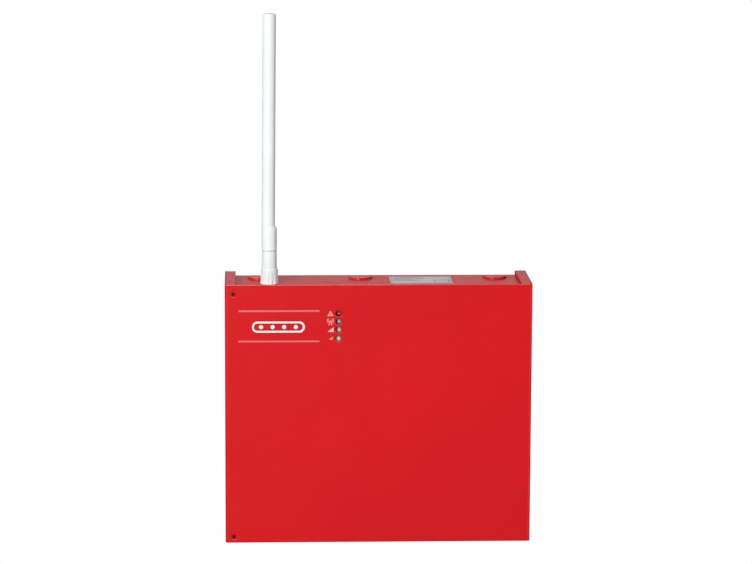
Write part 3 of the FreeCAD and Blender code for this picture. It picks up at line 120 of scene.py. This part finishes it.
class Finish:
    """A node material under construction, with short calls for the usual parts."""

    def __init__(self, name, **inputs):
        self.material = bpy.data.materials.new(name)
        self.material.use_nodes = True
        self.tree = self.material.node_tree
        self.shader = self.tree.nodes["Principled BSDF"]
        self.place = self.add("ShaderNodeTexCoord").outputs["Object"]
        for key, amount in inputs.items():
            self.shader.inputs[key.replace("_", " ")].default_value = amount

    def add(self, kind, **settings):
        """A new node of the tree with its settings made."""
        node = self.tree.nodes.new(kind)
        for key, amount in settings.items():
            setattr(node, key, amount)
        return node

    def link(self, source, target):
        self.tree.links.new(source, target)

    def noise(self, scale, detail=3.0, stretch=None):
        """Noise in metres: a scale of 1000 has features of about a millimetre."""
        node = self.add("ShaderNodeTexNoise")
        node.inputs["Scale"].default_value = scale
        node.inputs["Detail"].default_value = detail
        if stretch:
            mapping = self.add("ShaderNodeMapping")
            mapping.inputs["Scale"].default_value = stretch
            self.link(self.place, mapping.inputs["Vector"])
            self.link(mapping.outputs["Vector"], node.inputs["Vector"])
        else:
            self.link(self.place, node.inputs["Vector"])
        return node.outputs["Fac"]

    def ramp(self, source, low, high, start=0.0, end=1.0):
        """Map a factor between two greys or two colours."""
        node = self.add("ShaderNodeValToRGB")
        first, last = node.color_ramp.elements
        first.position, last.position = start, end
        first.color, last.color = colour(low), colour(high)
        self.link(source, node.inputs["Fac"])
        return node.outputs["Color"]

    def mottle(self, scale, low, high, detail=3.0):
        """Noise that wanders between two greys or two colours."""
        return self.ramp(self.noise(scale, detail), low, high, MOTTLE_START, MOTTLE_END)

    def mix(self, factor, below, above):
        """Two colours, or a colour and a socket, shared out by a factor."""
        node = self.add("ShaderNodeMix", data_type="RGBA")
        self.link(factor, node.inputs["Factor"])
        for socket, item in ((node.inputs[6], below), (node.inputs[7], above)):
            if isinstance(item, (tuple, float)):
                socket.default_value = colour(item)
            else:
                self.link(item, socket)
        return node.outputs[2]

    def span(self, source, start, end, low=0.0, high=1.0):
        """Straight-line map of a value, clamped at both ends."""
        node = self.add("ShaderNodeMapRange")
        for key, amount in (("From Min", start), ("From Max", end), ("To Min", low),
                            ("To Max", high)):
            node.inputs[key].default_value = amount
        self.link(source, node.inputs["Value"])
        return node.outputs["Result"]

    def times(self, *factors):
        """Product of two or more masks."""
        result = factors[0]
        for factor in factors[1:]:
            node = self.add("ShaderNodeMath", operation="MULTIPLY")
            self.link(result, node.inputs[0])
            self.link(factor, node.inputs[1])
            result = node.outputs["Value"]
        return result

    def axes(self, vector):
        """The X, Y and Z of a vector socket."""
        node = self.add("ShaderNodeSeparateXYZ")
        self.link(vector, node.inputs["Vector"])
        return node.outputs["X"], node.outputs["Y"], node.outputs["Z"]

    def facing(self):
        """The X, Y and Z of the surface normal."""
        return self.axes(self.add("ShaderNodeNewGeometry").outputs["Normal"])

    def edges(self, radius):
        """Masks of folded edges for painted light: those that turn up to the front, for a painted
        highlight, and the other upper ones, for painted shade.
        """
        bevel = self.add("ShaderNodeBevel", samples=BEVEL_SAMPLES)
        bevel.inputs["Radius"].default_value = radius
        geometry = self.add("ShaderNodeNewGeometry")
        dot = self.add("ShaderNodeVectorMath", operation="DOT_PRODUCT")
        self.link(bevel.outputs["Normal"], dot.inputs[0])
        self.link(geometry.outputs["Normal"], dot.inputs[1])
        mask = self.span(dot.outputs["Value"], FLAT_DOT, FOLDED_DOT)
        _, soft_y, soft_z = self.axes(bevel.outputs["Normal"])
        _, _, true_z = self.axes(geometry.outputs["Normal"])
        forward = self.span(soft_y, -0.1, -0.4)
        upward = self.span(soft_z, 0.1, 0.4)
        level = self.span(true_z, 0.6, 0.8)
        away = self.span(soft_y, -0.4, -0.1)
        return self.times(mask, forward, upward), self.times(mask, level, away)

    def bump(self, source, depth, strength):
        """Relief from a source, depth in mm, laid over any relief already there."""
        node = self.add("ShaderNodeBump")
        node.inputs["Strength"].default_value = strength
        node.inputs["Distance"].default_value = depth * MM
        self.link(source, node.inputs["Height"])
        previous = self.shader.inputs["Normal"]
        if previous.is_linked:
            self.link(previous.links[0].from_socket, node.inputs["Normal"])
        self.link(node.outputs["Normal"], previous)

    def grain(self, scale, depth, strength, detail=3.0, stretch=None):
        """Relief of fine noise."""
        self.bump(self.noise(scale, detail, stretch), depth, strength)

    def base(self, source):
        self.link(source, self.shader.inputs["Base Color"])

    def rough(self, source, low, high):
        """Roughness that follows a source between two values."""
        self.link(self.ramp(source, low, high), self.shader.inputs["Roughness"])


def colour(item):
    """Four channels from a colour or a grey."""
    if isinstance(item, tuple):
        return item + (1.0,)
    return (item, item, item, 1.0)


def toned(rgb, amount):
    """The same colour, darker below 1 and brighter above."""
    return tuple(max(0.0, channel * amount) for channel in rgb)


def fold_light_and_shade(finish, paint, rgb):
    """Painted light on the cabinet's folds: a painted highlight on the right bend, painted shade
    on the step wall, the rear edge and the outer edges.
    """
    right, _, up = finish.facing()
    across, depth, height = finish.axes(finish.place)
    cover_low, cover_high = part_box("cover")
    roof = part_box("rating_label")[0].z
    # Painted highlight on the right bend, without the flat side beyond it.
    inner = cover_high.x - BEND_WIDE
    on_bend = finish.span(across, inner, inner + BEND_FADE)
    bend_highlight = finish.times(on_bend, finish.span(right, 0.05, 0.3), finish.span(right, 0.99, 0.9))
    paint = finish.mix(bend_highlight, paint, toned(rgb, BEND_HIGHLIGHT_TONE))
    # Painted shade on the step wall, which looks left, stands right of the middle and rises from
    # the roof.
    step_shade = finish.times(finish.span(right, -0.8, -0.95), finish.span(across, 0.0, 1.0 * MM),
                        finish.span(height, roof - 0.1 * MM, roof + 0.1 * MM))
    paint = finish.mix(step_shade, paint, toned(rgb, STEP_SHADE_TONE))
    # Upward faces of the roof and the columns, with painted shade at their rear and outer edges.
    on_top = finish.times(finish.span(up, 0.8, 0.95),
                          finish.span(height, roof - 0.5 * MM, roof - 0.1 * MM))
    rear_shade = finish.times(on_top, finish.span(depth, -REAR_WIDE, REAR_FADE - REAR_WIDE))
    paint = finish.mix(rear_shade, paint, toned(rgb, EDGE_SHADE_TONE))
    for side, inward in ((cover_low.x, 1.0), (cover_high.x, -1.0)):
        on_edge = finish.span(across, side + inward * EDGE_WIDE,
                              side + inward * (EDGE_WIDE - EDGE_FADE))
        paint = finish.mix(finish.times(on_top, on_edge), paint, toned(rgb, EDGE_SHADE_TONE))
    return paint


def powder_coat(name, rgb):
    """Baked powder paint: orange-peel skin, faint tone drift, painted highlights and painted shade
    on the folds.
    """
    finish = Finish(name, Specular_IOR_Level=0.2, Coat_Weight=0.03, Coat_Roughness=0.35)
    drift = finish.mottle(7.0, toned(rgb, 0.95), toned(rgb, 1.04), detail=2.0)
    specks = finish.mottle(1300.0, 0.92, 1.0, detail=2.0)
    speckled = finish.add("ShaderNodeMix", data_type="RGBA", blend_type="MULTIPLY")
    speckled.inputs["Factor"].default_value = 1.0
    finish.link(drift, speckled.inputs[6])
    finish.link(specks, speckled.inputs[7])
    # Painted highlight on folds turned up to the front; painted shade on the other upper folds.
    highlight_fold, fold_shade = finish.edges(FOLD_RADIUS)
    folded = finish.mix(fold_shade, speckled.outputs[2], toned(rgb, FOLD_SHADE_TONE))
    folded = fold_light_and_shade(finish, folded, rgb)
    across, _, _ = finish.axes(finish.place)
    # The painted highlight on the fold fades out towards the right.
    fold_highlight = finish.times(highlight_fold, finish.span(across, 0.0, HIGHLIGHT_REACH, 1.0, HIGHLIGHT_FAINT))
    finish.base(finish.mix(fold_highlight, folded, FOLD_HIGHLIGHT_RED))
    finish.rough(finish.noise(60.0), 0.38, 0.5)
    finish.grain(700.0, depth=0.05, strength=0.35)
    finish.grain(25.0, depth=0.12, strength=0.25, detail=1.0)
    return finish.material


def socket_screw(name, node):
    """Countersunk screw painted with the cover; its head is darker red as painted shade and its
    socket is black as painted shade in the recess.
    """
    low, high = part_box(node)
    finish = Finish(name, Specular_IOR_Level=0.2)
    offset = finish.add("ShaderNodeVectorMath", operation="SUBTRACT")
    finish.link(finish.place, offset.inputs[0])
    offset.inputs[1].default_value = (low + high) / 2
    across = finish.add("ShaderNodeVectorMath", operation="MULTIPLY")
    finish.link(offset.outputs["Vector"], across.inputs[0])
    across.inputs[1].default_value = (1.0, 0.0, 1.0)
    reach = finish.add("ShaderNodeVectorMath", operation="LENGTH")
    finish.link(across.outputs["Vector"], reach.inputs[0])
    socket = finish.span(reach.outputs["Value"], SOCKET_RADIUS, SOCKET_RADIUS - 0.1 * MM)
    # Head darker red as painted shade; socket black as painted shade in the recess.
    paint = finish.mottle(900.0, toned(RED, 0.4), toned(RED, 0.55))
    finish.base(finish.mix(socket, paint, SOCKET_SHADE))
    finish.rough(finish.noise(400.0), 0.4, 0.55)
    finish.grain(700.0, depth=0.03, strength=0.3)
    return finish.material


def moulded(name, rgb, rough, scale=900.0, depth=0.03):
    """Moulded plastic with a fine spark-eroded grain and soft handling marks."""
    finish = Finish(name, Specular_IOR_Level=0.4)
    finish.base(finish.mottle(30.0, toned(rgb, 0.96), toned(rgb, 1.02)))
    finish.rough(finish.noise(140.0), rough - 0.06, rough + 0.08)
    finish.grain(scale, depth, strength=0.4, detail=2.0)
    return finish.material


def antenna_plastic(name):
    """White moulding with painted shade: a little greyer and cooler just above the roof."""
    finish = Finish(name, Specular_IOR_Level=0.45)
    _, _, height = finish.axes(finish.place)
    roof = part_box("rating_label")[0].z
    unshaded = finish.mottle(30.0, toned(WHITE, 0.96), toned(WHITE, 1.02))
    # Painted shade on the antenna near the roof.
    near_roof = finish.span(height, roof + UNSHADED_ABOVE, roof + SHADED_BELOW)
    finish.base(finish.mix(near_roof, unshaded, SHADED_WHITE))
    finish.rough(finish.noise(140.0), 0.36, 0.5)
    finish.grain(1100.0, depth=0.02, strength=0.4, detail=2.0)
    return finish.material


def metal(name, rgb, rough=0.3, stretch=(1.0, 1.0, 18.0)):
    """Drawn or plated metal: stretched polish lines and a cloudy plating tone."""
    finish = Finish(name, Metallic=1.0)
    finish.base(finish.mottle(90.0, toned(rgb, 0.88), toned(rgb, 1.12)))
    finish.rough(finish.noise(400.0, 3.0, stretch), rough - 0.08, rough + 0.12)
    finish.grain(1500.0, depth=0.01, strength=0.3, detail=2.0, stretch=stretch)
    return finish.material


def solder_mask(name, rgb, copper):
    """Circuit board: glossy mask over raised traces, bare metal pads and a fine weave."""
    finish = Finish(name, Specular_IOR_Level=0.55)
    tracks = []
    for direction in ("X", "Z"):
        wave = finish.add("ShaderNodeTexWave", wave_type="BANDS", bands_direction=direction)
        wave.inputs["Scale"].default_value = TRACE_SCALE
        finish.link(finish.place, wave.inputs["Vector"])
        tracks.append(finish.ramp(wave.outputs["Fac"], 0.0, 1.0, 0.55, 0.65))
    patches = finish.ramp(finish.noise(70.0, 0.0), 0.0, 1.0, 0.49, 0.51)
    traces = finish.mix(patches, *tracks)
    cells = finish.add("ShaderNodeTexVoronoi")
    cells.inputs["Scale"].default_value = PAD_SCALE
    cells.inputs["Randomness"].default_value = PAD_SCATTER
    finish.link(finish.place, cells.inputs["Vector"])
    pads = finish.ramp(cells.outputs["Distance"], 1.0, 0.0, 0.13, 0.16)
    green = finish.mix(traces, rgb, toned(rgb, 1.9))
    finish.base(finish.mix(pads, green, copper))
    finish.link(pads, finish.shader.inputs["Metallic"])
    finish.rough(finish.noise(300.0), 0.22, 0.38)
    finish.bump(traces, depth=0.03, strength=0.6)
    finish.grain(2200.0, depth=0.01, strength=0.3, detail=1.0)
    return finish.material


def lens(name, rgb, node=None, reflection_rgb=None, shade=0.0):
    """Clear or tinted glass or epoxy with faint flow streaks.

    A lamp also has a painted reflection of the red cover in its lower half and a painted shadow of
    the hole's edge on its left side.
    """
    finish = Finish(name, IOR=1.5, Transmission_Weight=0.3, Specular_IOR_Level=0.5)
    streak = finish.noise(500.0, 2.0, (1.0, 4.0, 1.0))
    tint = finish.ramp(streak, toned(rgb, 0.85), toned(rgb, 1.1), MOTTLE_START, MOTTLE_END)
    if node:
        low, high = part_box(node)
        middle = (low + high) / 2
        across, _, height = finish.axes(finish.place)
        # Lower half: painted reflection of the red cover.
        below = finish.span(height, middle.z + LAMP_UPPER, middle.z - LAMP_LOWER)
        tint = finish.mix(below, tint, reflection_rgb)
        # Left side: painted shadow of the hole's edge.
        left = finish.span(across, middle.x - LAMP_SHADE_NEAR, middle.x - LAMP_SHADE_FAR,
                           0.0, shade)
        tint = finish.mix(left, tint, LAMP_SHADE)
    finish.base(tint)
    finish.rough(streak, 0.06, 0.18)
    finish.grain(900.0, depth=0.01, strength=0.3)
    return finish.material


def foil_label(name):
    """Satin foil label: brushed silver with a slight cool cast."""
    finish = Finish(name, Metallic=0.35, Specular_IOR_Level=0.5)
    finish.base(finish.mottle(40.0, DULL_FOIL, BRIGHT_FOIL))
    finish.rough(finish.noise(600.0, 2.0, (1.0, 25.0, 1.0)), 0.34, 0.5)
    finish.grain(45.0, depth=0.05, strength=0.3)
    return finish.material


def print_ink(name, rgb):
    """Screen-printed ink: thin, slightly uneven, with the paint's grain below."""
    finish = Finish(name, Specular_IOR_Level=0.3)
    finish.base(finish.ramp(finish.noise(500.0), toned(rgb, 0.9), toned(rgb, 1.04), 0.35, 0.65))
    finish.rough(finish.noise(90.0), 0.45, 0.6)
    finish.grain(700.0, depth=0.03, strength=0.3)
    return finish.material


PAINTED = ["backbox", "cover", "battery_strap"]
ZINCED = ["hinge_pins", "lip_clinch_nuts", "jack_washer", "indicator_screws", "board_screws",
          "terminal_screws", "stud_nuts", "weld_studs", "tamper_bracket", "sim_lid"]
BRASSY = ["antenna_jack", "jack_nut", "antenna_radiator_rod", "coax_receptacle", "battery_tabs"]
ANTENNA = ["antenna_coupling_nut", "antenna_lower_sleeve", "antenna_upper_sleeve", "antenna_whip"]
DARK = ["sim_holder", "processor_chip", "interface_chips", "service_button_base",
        "ribbon_headers", "antenna_coax", "battery_lead_black", "tamper_switch"]


def paint_nodes():
    """Give every CAD node its finish."""
    shared = [
        (PAINTED, powder_coat("red_powder_coat", RED)),
        (ZINCED, metal("zinc_plate", ZINC)),
        (BRASSY, metal("brass", BRASS, 0.26)),
        (ANTENNA, antenna_plastic("antenna_white")),
        (DARK, moulded("black_moulding", BLACK, 0.42)),
        (["cover_screw_top"], socket_screw("screw_top_paint", "cover_screw_top")),
        (["cover_screw_bottom"], socket_screw("screw_bottom_paint", "cover_screw_bottom")),
        (["indicator_posts", "board_standoffs"], metal("nickel", NICKEL, 0.24)),
        (["radio_shield_can", "fuse_clips"], metal("tinned_sheet", TIN, 0.28, (12.0, 1.0, 1.0))),
        (["main_board", "indicator_board"], solder_mask("green_board", GREEN_BOARD, TIN)),
        (["radio_module"], solder_mask("blue_board", BLUE_BOARD, BRASS)),
        (["rating_label"], foil_label("label_foil")),
        (["sim_card", "service_button_cap"], moulded("card_white", CARD_WHITE, 0.5)),
        (["power_terminals", "zone_terminals"], moulded("terminal_green", (0.02, 0.2, 0.06), 0.4)),
        (["alarm_relays"], moulded("relay_blue", (0.02, 0.06, 0.25), 0.3)),
        (["filter_capacitors"], moulded("capacitor_sleeve", (0.03, 0.03, 0.06), 0.25)),
        (["power_inductor"], moulded("ferrite", (0.045, 0.045, 0.05), 0.6)),
        (["glass_fuse"], lens("fuse_glass", (0.8, 0.84, 0.84))),
        (["indicator_ribbon"], moulded("ribbon_grey", (0.3, 0.3, 0.32), 0.5)),
        (["battery_lead_red", "tamper_plunger"], moulded("red_plastic", (0.45, 0.01, 0.01), 0.4)),
        (["ground_wire"], moulded("wire_green", (0.04, 0.25, 0.05), 0.4)),
        (["tamper_wires"], moulded("wire_grey", (0.42, 0.42, 0.4), 0.45)),
        (["battery_case"], moulded("battery_case_grey", (0.05, 0.05, 0.055), 0.5, 500.0, 0.06)),
        (["battery_lid"], moulded("battery_lid_black", (0.02, 0.02, 0.022), 0.5, 500.0, 0.06)),
    ]
    for node, (name, rgb, reflection_rgb, shade) in LAMPS.items():
        shared.append(([node], lens(name, rgb, node, reflection_rgb, shade)))
    left = set(NODES)
    for names, material in shared:
        for name in names:
            mesh = NODES[name].data
            mesh.materials.clear()
            mesh.materials.append(material)
            left.discard(name)
    if left:
        raise RuntimeError("nodes without a finish: %s" % sorted(left))


# ---- Printed graphics -------------------------------------------------------

# Places and sizes of the prints, in mm. Drops are below the top of the cover; icons
# are placed from the lamp beside them.
INK_FOOT, INK_THICK, LABEL_INK_THICK = 0.005, 0.07, 0.03
RULE_LEFT, RULE_RIGHT, RULE_HALF, RULE_ROUND = -130.0, -54.9, 0.8, 0.75
RULE_DROPS = (("print_rule_upper", 24.4), ("print_rule_lower", 52.9))
EMBLEM_LEFT, EMBLEM_RIGHT, EMBLEM_DROP, EMBLEM_TALL = -117.4, -68.6, 34.2, 10.4
EMBLEM_LINE, EMBLEM_ROUND = 1.7, 5.15
DOT_COUNT, DOT_FIRST, DOT_PITCH, DOT_RADIUS = 4, -109.0, 10.7, 1.95
ICON_GAP = 7.85
TRIANGLE_HALF, TRIANGLE_FOOT, TRIANGLE_TIP = 2.9, 2.2, 2.8
TRIANGLE_HOLE, TRIANGLE_HOLE_DROP = 0.34, 0.55
MAST_FOOT, MAST_HALF, MAST_LEG, MAST_FORK, MAST_TIP, MAST_TIP_HALF = 3.3, 1.9, 0.9, 0.3, 1.2, 0.45
WAVE_LIFT, WAVE_SPREAD = 1.0, 48
WAVES = ((1.6, 0.6), (2.9, 0.65))   # radius and line width
WEDGE_WIDE, WEDGE_TALL, WEDGE_LIFT, WEDGE_REACH = 5.5, 4.5, 0.4, 2.9
LOW_WEDGE_SIZE, LOW_WEDGE_REACH = 0.68, 2.262
LABEL_ROWS = (0.92, 0.7, 0.84, 0.55, 0.78, 0.62)   # length of each rule as a share
LABEL_MARGIN, ROW_HALF, ROW_PITCH, ROW_DROP, ROW_STOP = 3.0, 0.45, 4.2, 4.5, 24.0
STAMP_SIDE, STAMP_RISE, STAMP_LINE, BORDER_GAP, BORDER_LINE = 14.0, 5.0, 0.6, 1.2, 0.4


def arc(across, height, radius, start, end, steps):
    """Points of an arc in the plane of the cover, angles in degrees."""
    points = []
    for number in range(steps + 1):
        angle = math.radians(start + (end - start) * number / steps)
        points.append((across + radius * math.cos(angle), height + radius * math.sin(angle)))
    return points


def rounded_box(left, low, right, high, radius, steps=6):
    """Points round a rectangle with round corners."""
    centres = ((right - radius, high - radius, 0), (left + radius, high - radius, 90),
               (left + radius, low + radius, 180), (right - radius, low + radius, 270))
    points = []
    for across, height, start in centres:
        points += arc(across, height, radius, start, start + 90, steps)
    return points


def scaled(points, across, height, amount):
    """The points drawn in towards a centre."""
    return [(across + (x - across) * amount, height + (z - height) * amount) for x, z in points]


class Print:
    """Ink shapes a few hundredths of a millimetre proud of a flat face.

    side "front" draws in x and z on a face that looks along -Y; "top" draws in
    x and y on a face that looks up.
    """

    def __init__(self, name, level, side="front", thick=INK_THICK):
        self.name, self.level, self.side, self.thick = name, level, side, thick
        self.mesh = bmesh.new()

    def point(self, pair, lift):
        if self.side == "front":
            return Vector((pair[0], self.level - lift, pair[1])) * MM
        return Vector((pair[0], pair[1], self.level + lift)) * MM

    def verts(self, points, lift):
        return [self.mesh.verts.new(self.point(pair, lift)) for pair in points]

    def patch(self, points):
        """Filled shape with a straight rim."""
        face, foot = self.verts(points, self.thick), self.verts(points, INK_FOOT)
        self.mesh.faces.new(face)
        for number in range(len(points)):
            following = (number + 1) % len(points)
            self.mesh.faces.new((face[number], face[following], foot[following], foot[number]))
        self.mesh.faces.new(list(reversed(foot)))

    def band(self, outer, inner):
        """Closed outline between two loops of equal length."""
        loops = [self.verts(outer, self.thick), self.verts(inner, self.thick),
                 self.verts(inner, INK_FOOT), self.verts(outer, INK_FOOT)]
        for number in range(len(outer)):
            following = (number + 1) % len(outer)
            for ring in range(4):
                near, far = loops[ring], loops[(ring + 1) % 4]
                self.mesh.faces.new((near[number], near[following], far[following], far[number]))

    def stroke(self, across, height, radius, start, end, width, steps=10):
        """Part of a ring, as a wave or an arc."""
        outer = arc(across, height, radius + width / 2, start, end, steps)
        inner = arc(across, height, radius - width / 2, end, start, steps)
        self.patch(outer + inner)

    def done(self, body, material):
        """Turn the shapes into one object that rides on a body and wears a material."""
        bmesh.ops.recalc_face_normals(self.mesh, faces=self.mesh.faces[:])
        data = bpy.data.meshes.new(self.name)
        self.mesh.to_mesh(data)
        self.mesh.free()
        item = bpy.data.objects.new(self.name, data)
        bpy.context.scene.collection.objects.link(item)
        item.data.materials.append(material)
        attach(item, body)


def cover_front():
    """Depth of the cover's face and height of its top edge, in mm."""
    low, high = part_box("cover")
    return low.y / MM, high.z / MM


def lamp_place(name):
    """Place across and height of a lamp's axis, in mm."""
    low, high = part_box(name)
    return (low.x + high.x) / 2 / MM, (low.z + high.z) / 2 / MM


def print_emblem(level, top, ink):
    """A plain rounded outline with a row of dots."""
    emblem = Print("print_emblem", level)
    left, right = EMBLEM_LEFT, EMBLEM_RIGHT
    high = top - EMBLEM_DROP
    low = high - EMBLEM_TALL
    line = EMBLEM_LINE
    emblem.band(rounded_box(left, low, right, high, EMBLEM_ROUND, 10),
                rounded_box(left + line, low + line, right - line, high - line,
                            EMBLEM_ROUND - line, 10))
    middle = (low + high) / 2
    for number in range(DOT_COUNT):
        across = DOT_FIRST + number * DOT_PITCH
        emblem.patch(arc(across, middle, DOT_RADIUS, 0, 330, 11))
    emblem.done("cover", ink)


def print_trouble(level, across, ink):
    """Warning triangle with a plain triangular hole."""
    height = lamp_place("led_trouble")[1]
    foot = height - TRIANGLE_FOOT
    outer = [(across - TRIANGLE_HALF, foot), (across + TRIANGLE_HALF, foot),
             (across, height + TRIANGLE_TIP)]
    icon = Print("icon_trouble", level)
    icon.band(outer, scaled(outer, across, height - TRIANGLE_HOLE_DROP, TRIANGLE_HOLE))
    icon.done("cover", ink)


def print_mast(level, across, ink):
    """Forked mast with two waves on each side."""
    height = lamp_place("led_radio")[1]
    foot, fork, tip = height - MAST_FOOT, height - MAST_FORK, height + MAST_TIP
    leg = MAST_HALF - MAST_LEG
    mast = Print("icon_mast", level)
    mast.patch([(across - MAST_HALF, foot), (across - leg, foot), (across, fork),
                (across + leg, foot), (across + MAST_HALF, foot),
                (across + MAST_TIP_HALF, tip), (across - MAST_TIP_HALF, tip)])
    for side in (0, 180):
        for radius, width in WAVES:
            mast.stroke(across, height + WAVE_LIFT, radius,
                        side - WAVE_SPREAD, side + WAVE_SPREAD, width)
    mast.done("cover", ink)


def print_wedge(level, across, ink, name, lamp, size, reach):
    """Rising wedge of signal strength, whose right edge stands at reach."""
    height = lamp_place(lamp)[1] + WEDGE_LIFT / size
    low, high = height - WEDGE_TALL * size / 2, height + WEDGE_TALL * size / 2
    right = across + reach
    wedge = Print(name, level)
    wedge.patch([(right - WEDGE_WIDE * size, low), (right, low), (right, high)])
    wedge.done("cover", ink)


def print_cover():
    """Two rules, a plain emblem between them and a pictogram beside each lamp."""
    level, top = cover_front()
    pale = print_ink("ink_pale_pink", INK_PINK)
    white = print_ink("ink_white", INK_WHITE)
    soft = print_ink("ink_icon", INK_ICON)
    dim = print_ink("ink_icon_dim", INK_DIM_ICON)
    for name, drop in RULE_DROPS:
        rule = Print(name, level)
        rule.patch(rounded_box(RULE_LEFT, top - drop - RULE_HALF,
                               RULE_RIGHT, top - drop + RULE_HALF, RULE_ROUND))
        rule.done("cover", pale)
    print_emblem(level, top, white)
    across = lamp_place("led_trouble")[0] - ICON_GAP
    print_trouble(level, across, dim)
    print_mast(level, across, dim)
    print_wedge(level, across, soft, "icon_signal_high", "led_signal_high", 1.0, WEDGE_REACH)
    print_wedge(level, across, dim, "icon_signal_low", "led_signal_low", LOW_WEDGE_SIZE,
                LOW_WEDGE_REACH)


def print_label():
    """Plain rules and boxes on the foil label, with no lettering."""
    low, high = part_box("rating_label")
    left, right = low.x / MM, high.x / MM
    near, far = low.y / MM, high.y / MM
    art = Print("label_rules", high.z / MM, "top", LABEL_INK_THICK)
    start = left + LABEL_MARGIN
    for number, share in enumerate(LABEL_ROWS):
        depth = far - ROW_DROP - number * ROW_PITCH
        end = start + (right - left - ROW_STOP) * share
        art.patch(rounded_box(start, depth - ROW_HALF, end, depth + ROW_HALF, 0.4, 2))
    edge, foot = right - LABEL_MARGIN, near + STAMP_RISE
    stamp = (edge - STAMP_SIDE, foot, edge, foot + STAMP_SIDE)
    border = (left + BORDER_GAP, near + BORDER_GAP, right - BORDER_GAP, far - BORDER_GAP)
    for box, line, outer, inner in ((stamp, STAMP_LINE, 1.0, 0.6),
                                    (border, BORDER_LINE, 1.2, 0.9)):
        hole = (box[0] + line, box[1] + line, box[2] - line, box[3] - line)
        art.band(rounded_box(*box, outer, 3), rounded_box(*hole, inner, 3))
    art.done("cabinet", print_ink("ink_grey", INK_GREY))


# ---- Stage, light and camera ------------------------------------------------

FLOOR_DROP, FLOOR_BACK, FLOOR_HALF = 0.6, 20.0, 40.0
FLOOR_DULL, FLOOR_BRIGHT, FLOOR_GLOW = 0.3, 0.34, 1.0

# Soft lights: name, place in metres, size in metres and power in watts.
LIGHTS = (
    ("key", (-1.35, -2.6, 0.9), 0.7, 92.5),
    ("side", (2.6, -1.1, 0.3), 1.0, 16.0),
    ("back", (0.3, 2.2, 1.5), 2.4, 4.0),
    ("top", (0.1, -0.5, 2.4), 1.2, 9.0),
)
# The world's glow grows from the front to the rear.
GLOW_START, GLOW_END, GLOW_LOW, GLOW_HIGH = -0.2, 0.7, 0.12, 0.6

CAMERA_PLACE = (-0.1246, -2.9, 0.5944)
CAMERA_PITCH, CAMERA_YAW, CAMERA_ROLL = 9.45, 2.472, 0.236   # degrees down, right, tilted
CAMERA_LENS, CAMERA_SENSOR = 148.38, 36.0
CAMERA_NEAR, CAMERA_FAR = 0.05, 200.0

def make_floor():
    """A wide pale floor well below the wall cabinet, seen white by the camera."""
    finish = Finish("floor_pale", Roughness=0.9, Specular_IOR_Level=0.0)
    finish.base(finish.mottle(0.6, FLOOR_DULL, FLOOR_BRIGHT))
    glow = finish.add("ShaderNodeEmission")
    glow.inputs["Strength"].default_value = FLOOR_GLOW
    seen = finish.add("ShaderNodeLightPath")
    blend = finish.add("ShaderNodeMixShader")
    finish.link(seen.outputs["Is Camera Ray"], blend.inputs["Fac"])
    finish.link(finish.shader.outputs["BSDF"], blend.inputs[1])
    finish.link(glow.outputs["Emission"], blend.inputs[2])
    finish.link(blend.outputs["Shader"], finish.tree.nodes["Material Output"].inputs["Surface"])
    mesh = bmesh.new()
    bmesh.ops.create_grid(mesh, x_segments=6, y_segments=6, size=FLOOR_HALF)
    data = bpy.data.meshes.new("floor")
    mesh.to_mesh(data)
    mesh.free()
    floor = bpy.data.objects.new("floor", data)
    floor.location = (0.0, FLOOR_BACK, cad_low.z - FLOOR_DROP)
    bpy.context.scene.collection.objects.link(floor)
    data.materials.append(finish.material)


def area_light(name, place, aim, size, power):
    """Square white light at a place, turned towards aim."""
    lamp = bpy.data.lights.new(name, "AREA")
    lamp.size, lamp.energy = size, power
    item = bpy.data.objects.new(name, lamp)
    item.location = place
    item.rotation_euler = (Vector(aim) - Vector(place)).to_track_quat("-Z", "Y").to_euler()
    bpy.context.scene.collection.objects.link(item)


def make_lights():
    """Four soft lights on the object and a faint glow all round."""
    centre = (cad_low + cad_high) / 2
    for name, place, size, power in LIGHTS:
        area_light(name, place, centre, size, power)
    world = bpy.data.worlds.new("studio")
    bpy.context.scene.world = world
    world.use_nodes = True
    tree = world.node_tree
    shader = tree.nodes["Background"]
    place = tree.nodes.new("ShaderNodeTexCoord")
    split = tree.nodes.new("ShaderNodeSeparateXYZ")
    tree.links.new(place.outputs["Generated"], split.inputs["Vector"])
    ramp = tree.nodes.new("ShaderNodeMapRange")
    for key, amount in (("From Min", GLOW_START), ("From Max", GLOW_END),
                        ("To Min", GLOW_LOW), ("To Max", GLOW_HIGH)):
        ramp.inputs[key].default_value = amount
    tree.links.new(split.outputs["Y"], ramp.inputs["Value"])
    tree.links.new(ramp.outputs["Result"], shader.inputs["Strength"])
    shader.inputs["Color"].default_value = colour(1.0)


def make_camera():
    """Long lens a little above and left of the cabinet, looking slightly down."""
    data = bpy.data.cameras.new("camera")
    data.sensor_width, data.lens = CAMERA_SENSOR, CAMERA_LENS
    data.clip_start, data.clip_end = CAMERA_NEAR, CAMERA_FAR
    item = bpy.data.objects.new("camera", data)
    turn = (Matrix.Rotation(-math.radians(CAMERA_YAW), 3, "Z")
            @ Matrix.Rotation(math.pi / 2 - math.radians(CAMERA_PITCH), 3, "X")
            @ Matrix.Rotation(math.radians(CAMERA_ROLL), 3, "Z"))
    item.location = CAMERA_PLACE
    item.rotation_euler = turn.to_euler()
    bpy.context.scene.collection.objects.link(item)
    bpy.context.scene.camera = item
    bpy.context.scene.view_settings.view_transform = "Standard"


paint_nodes()
print_cover()
print_label()
make_floor()
make_lights()
make_camera()
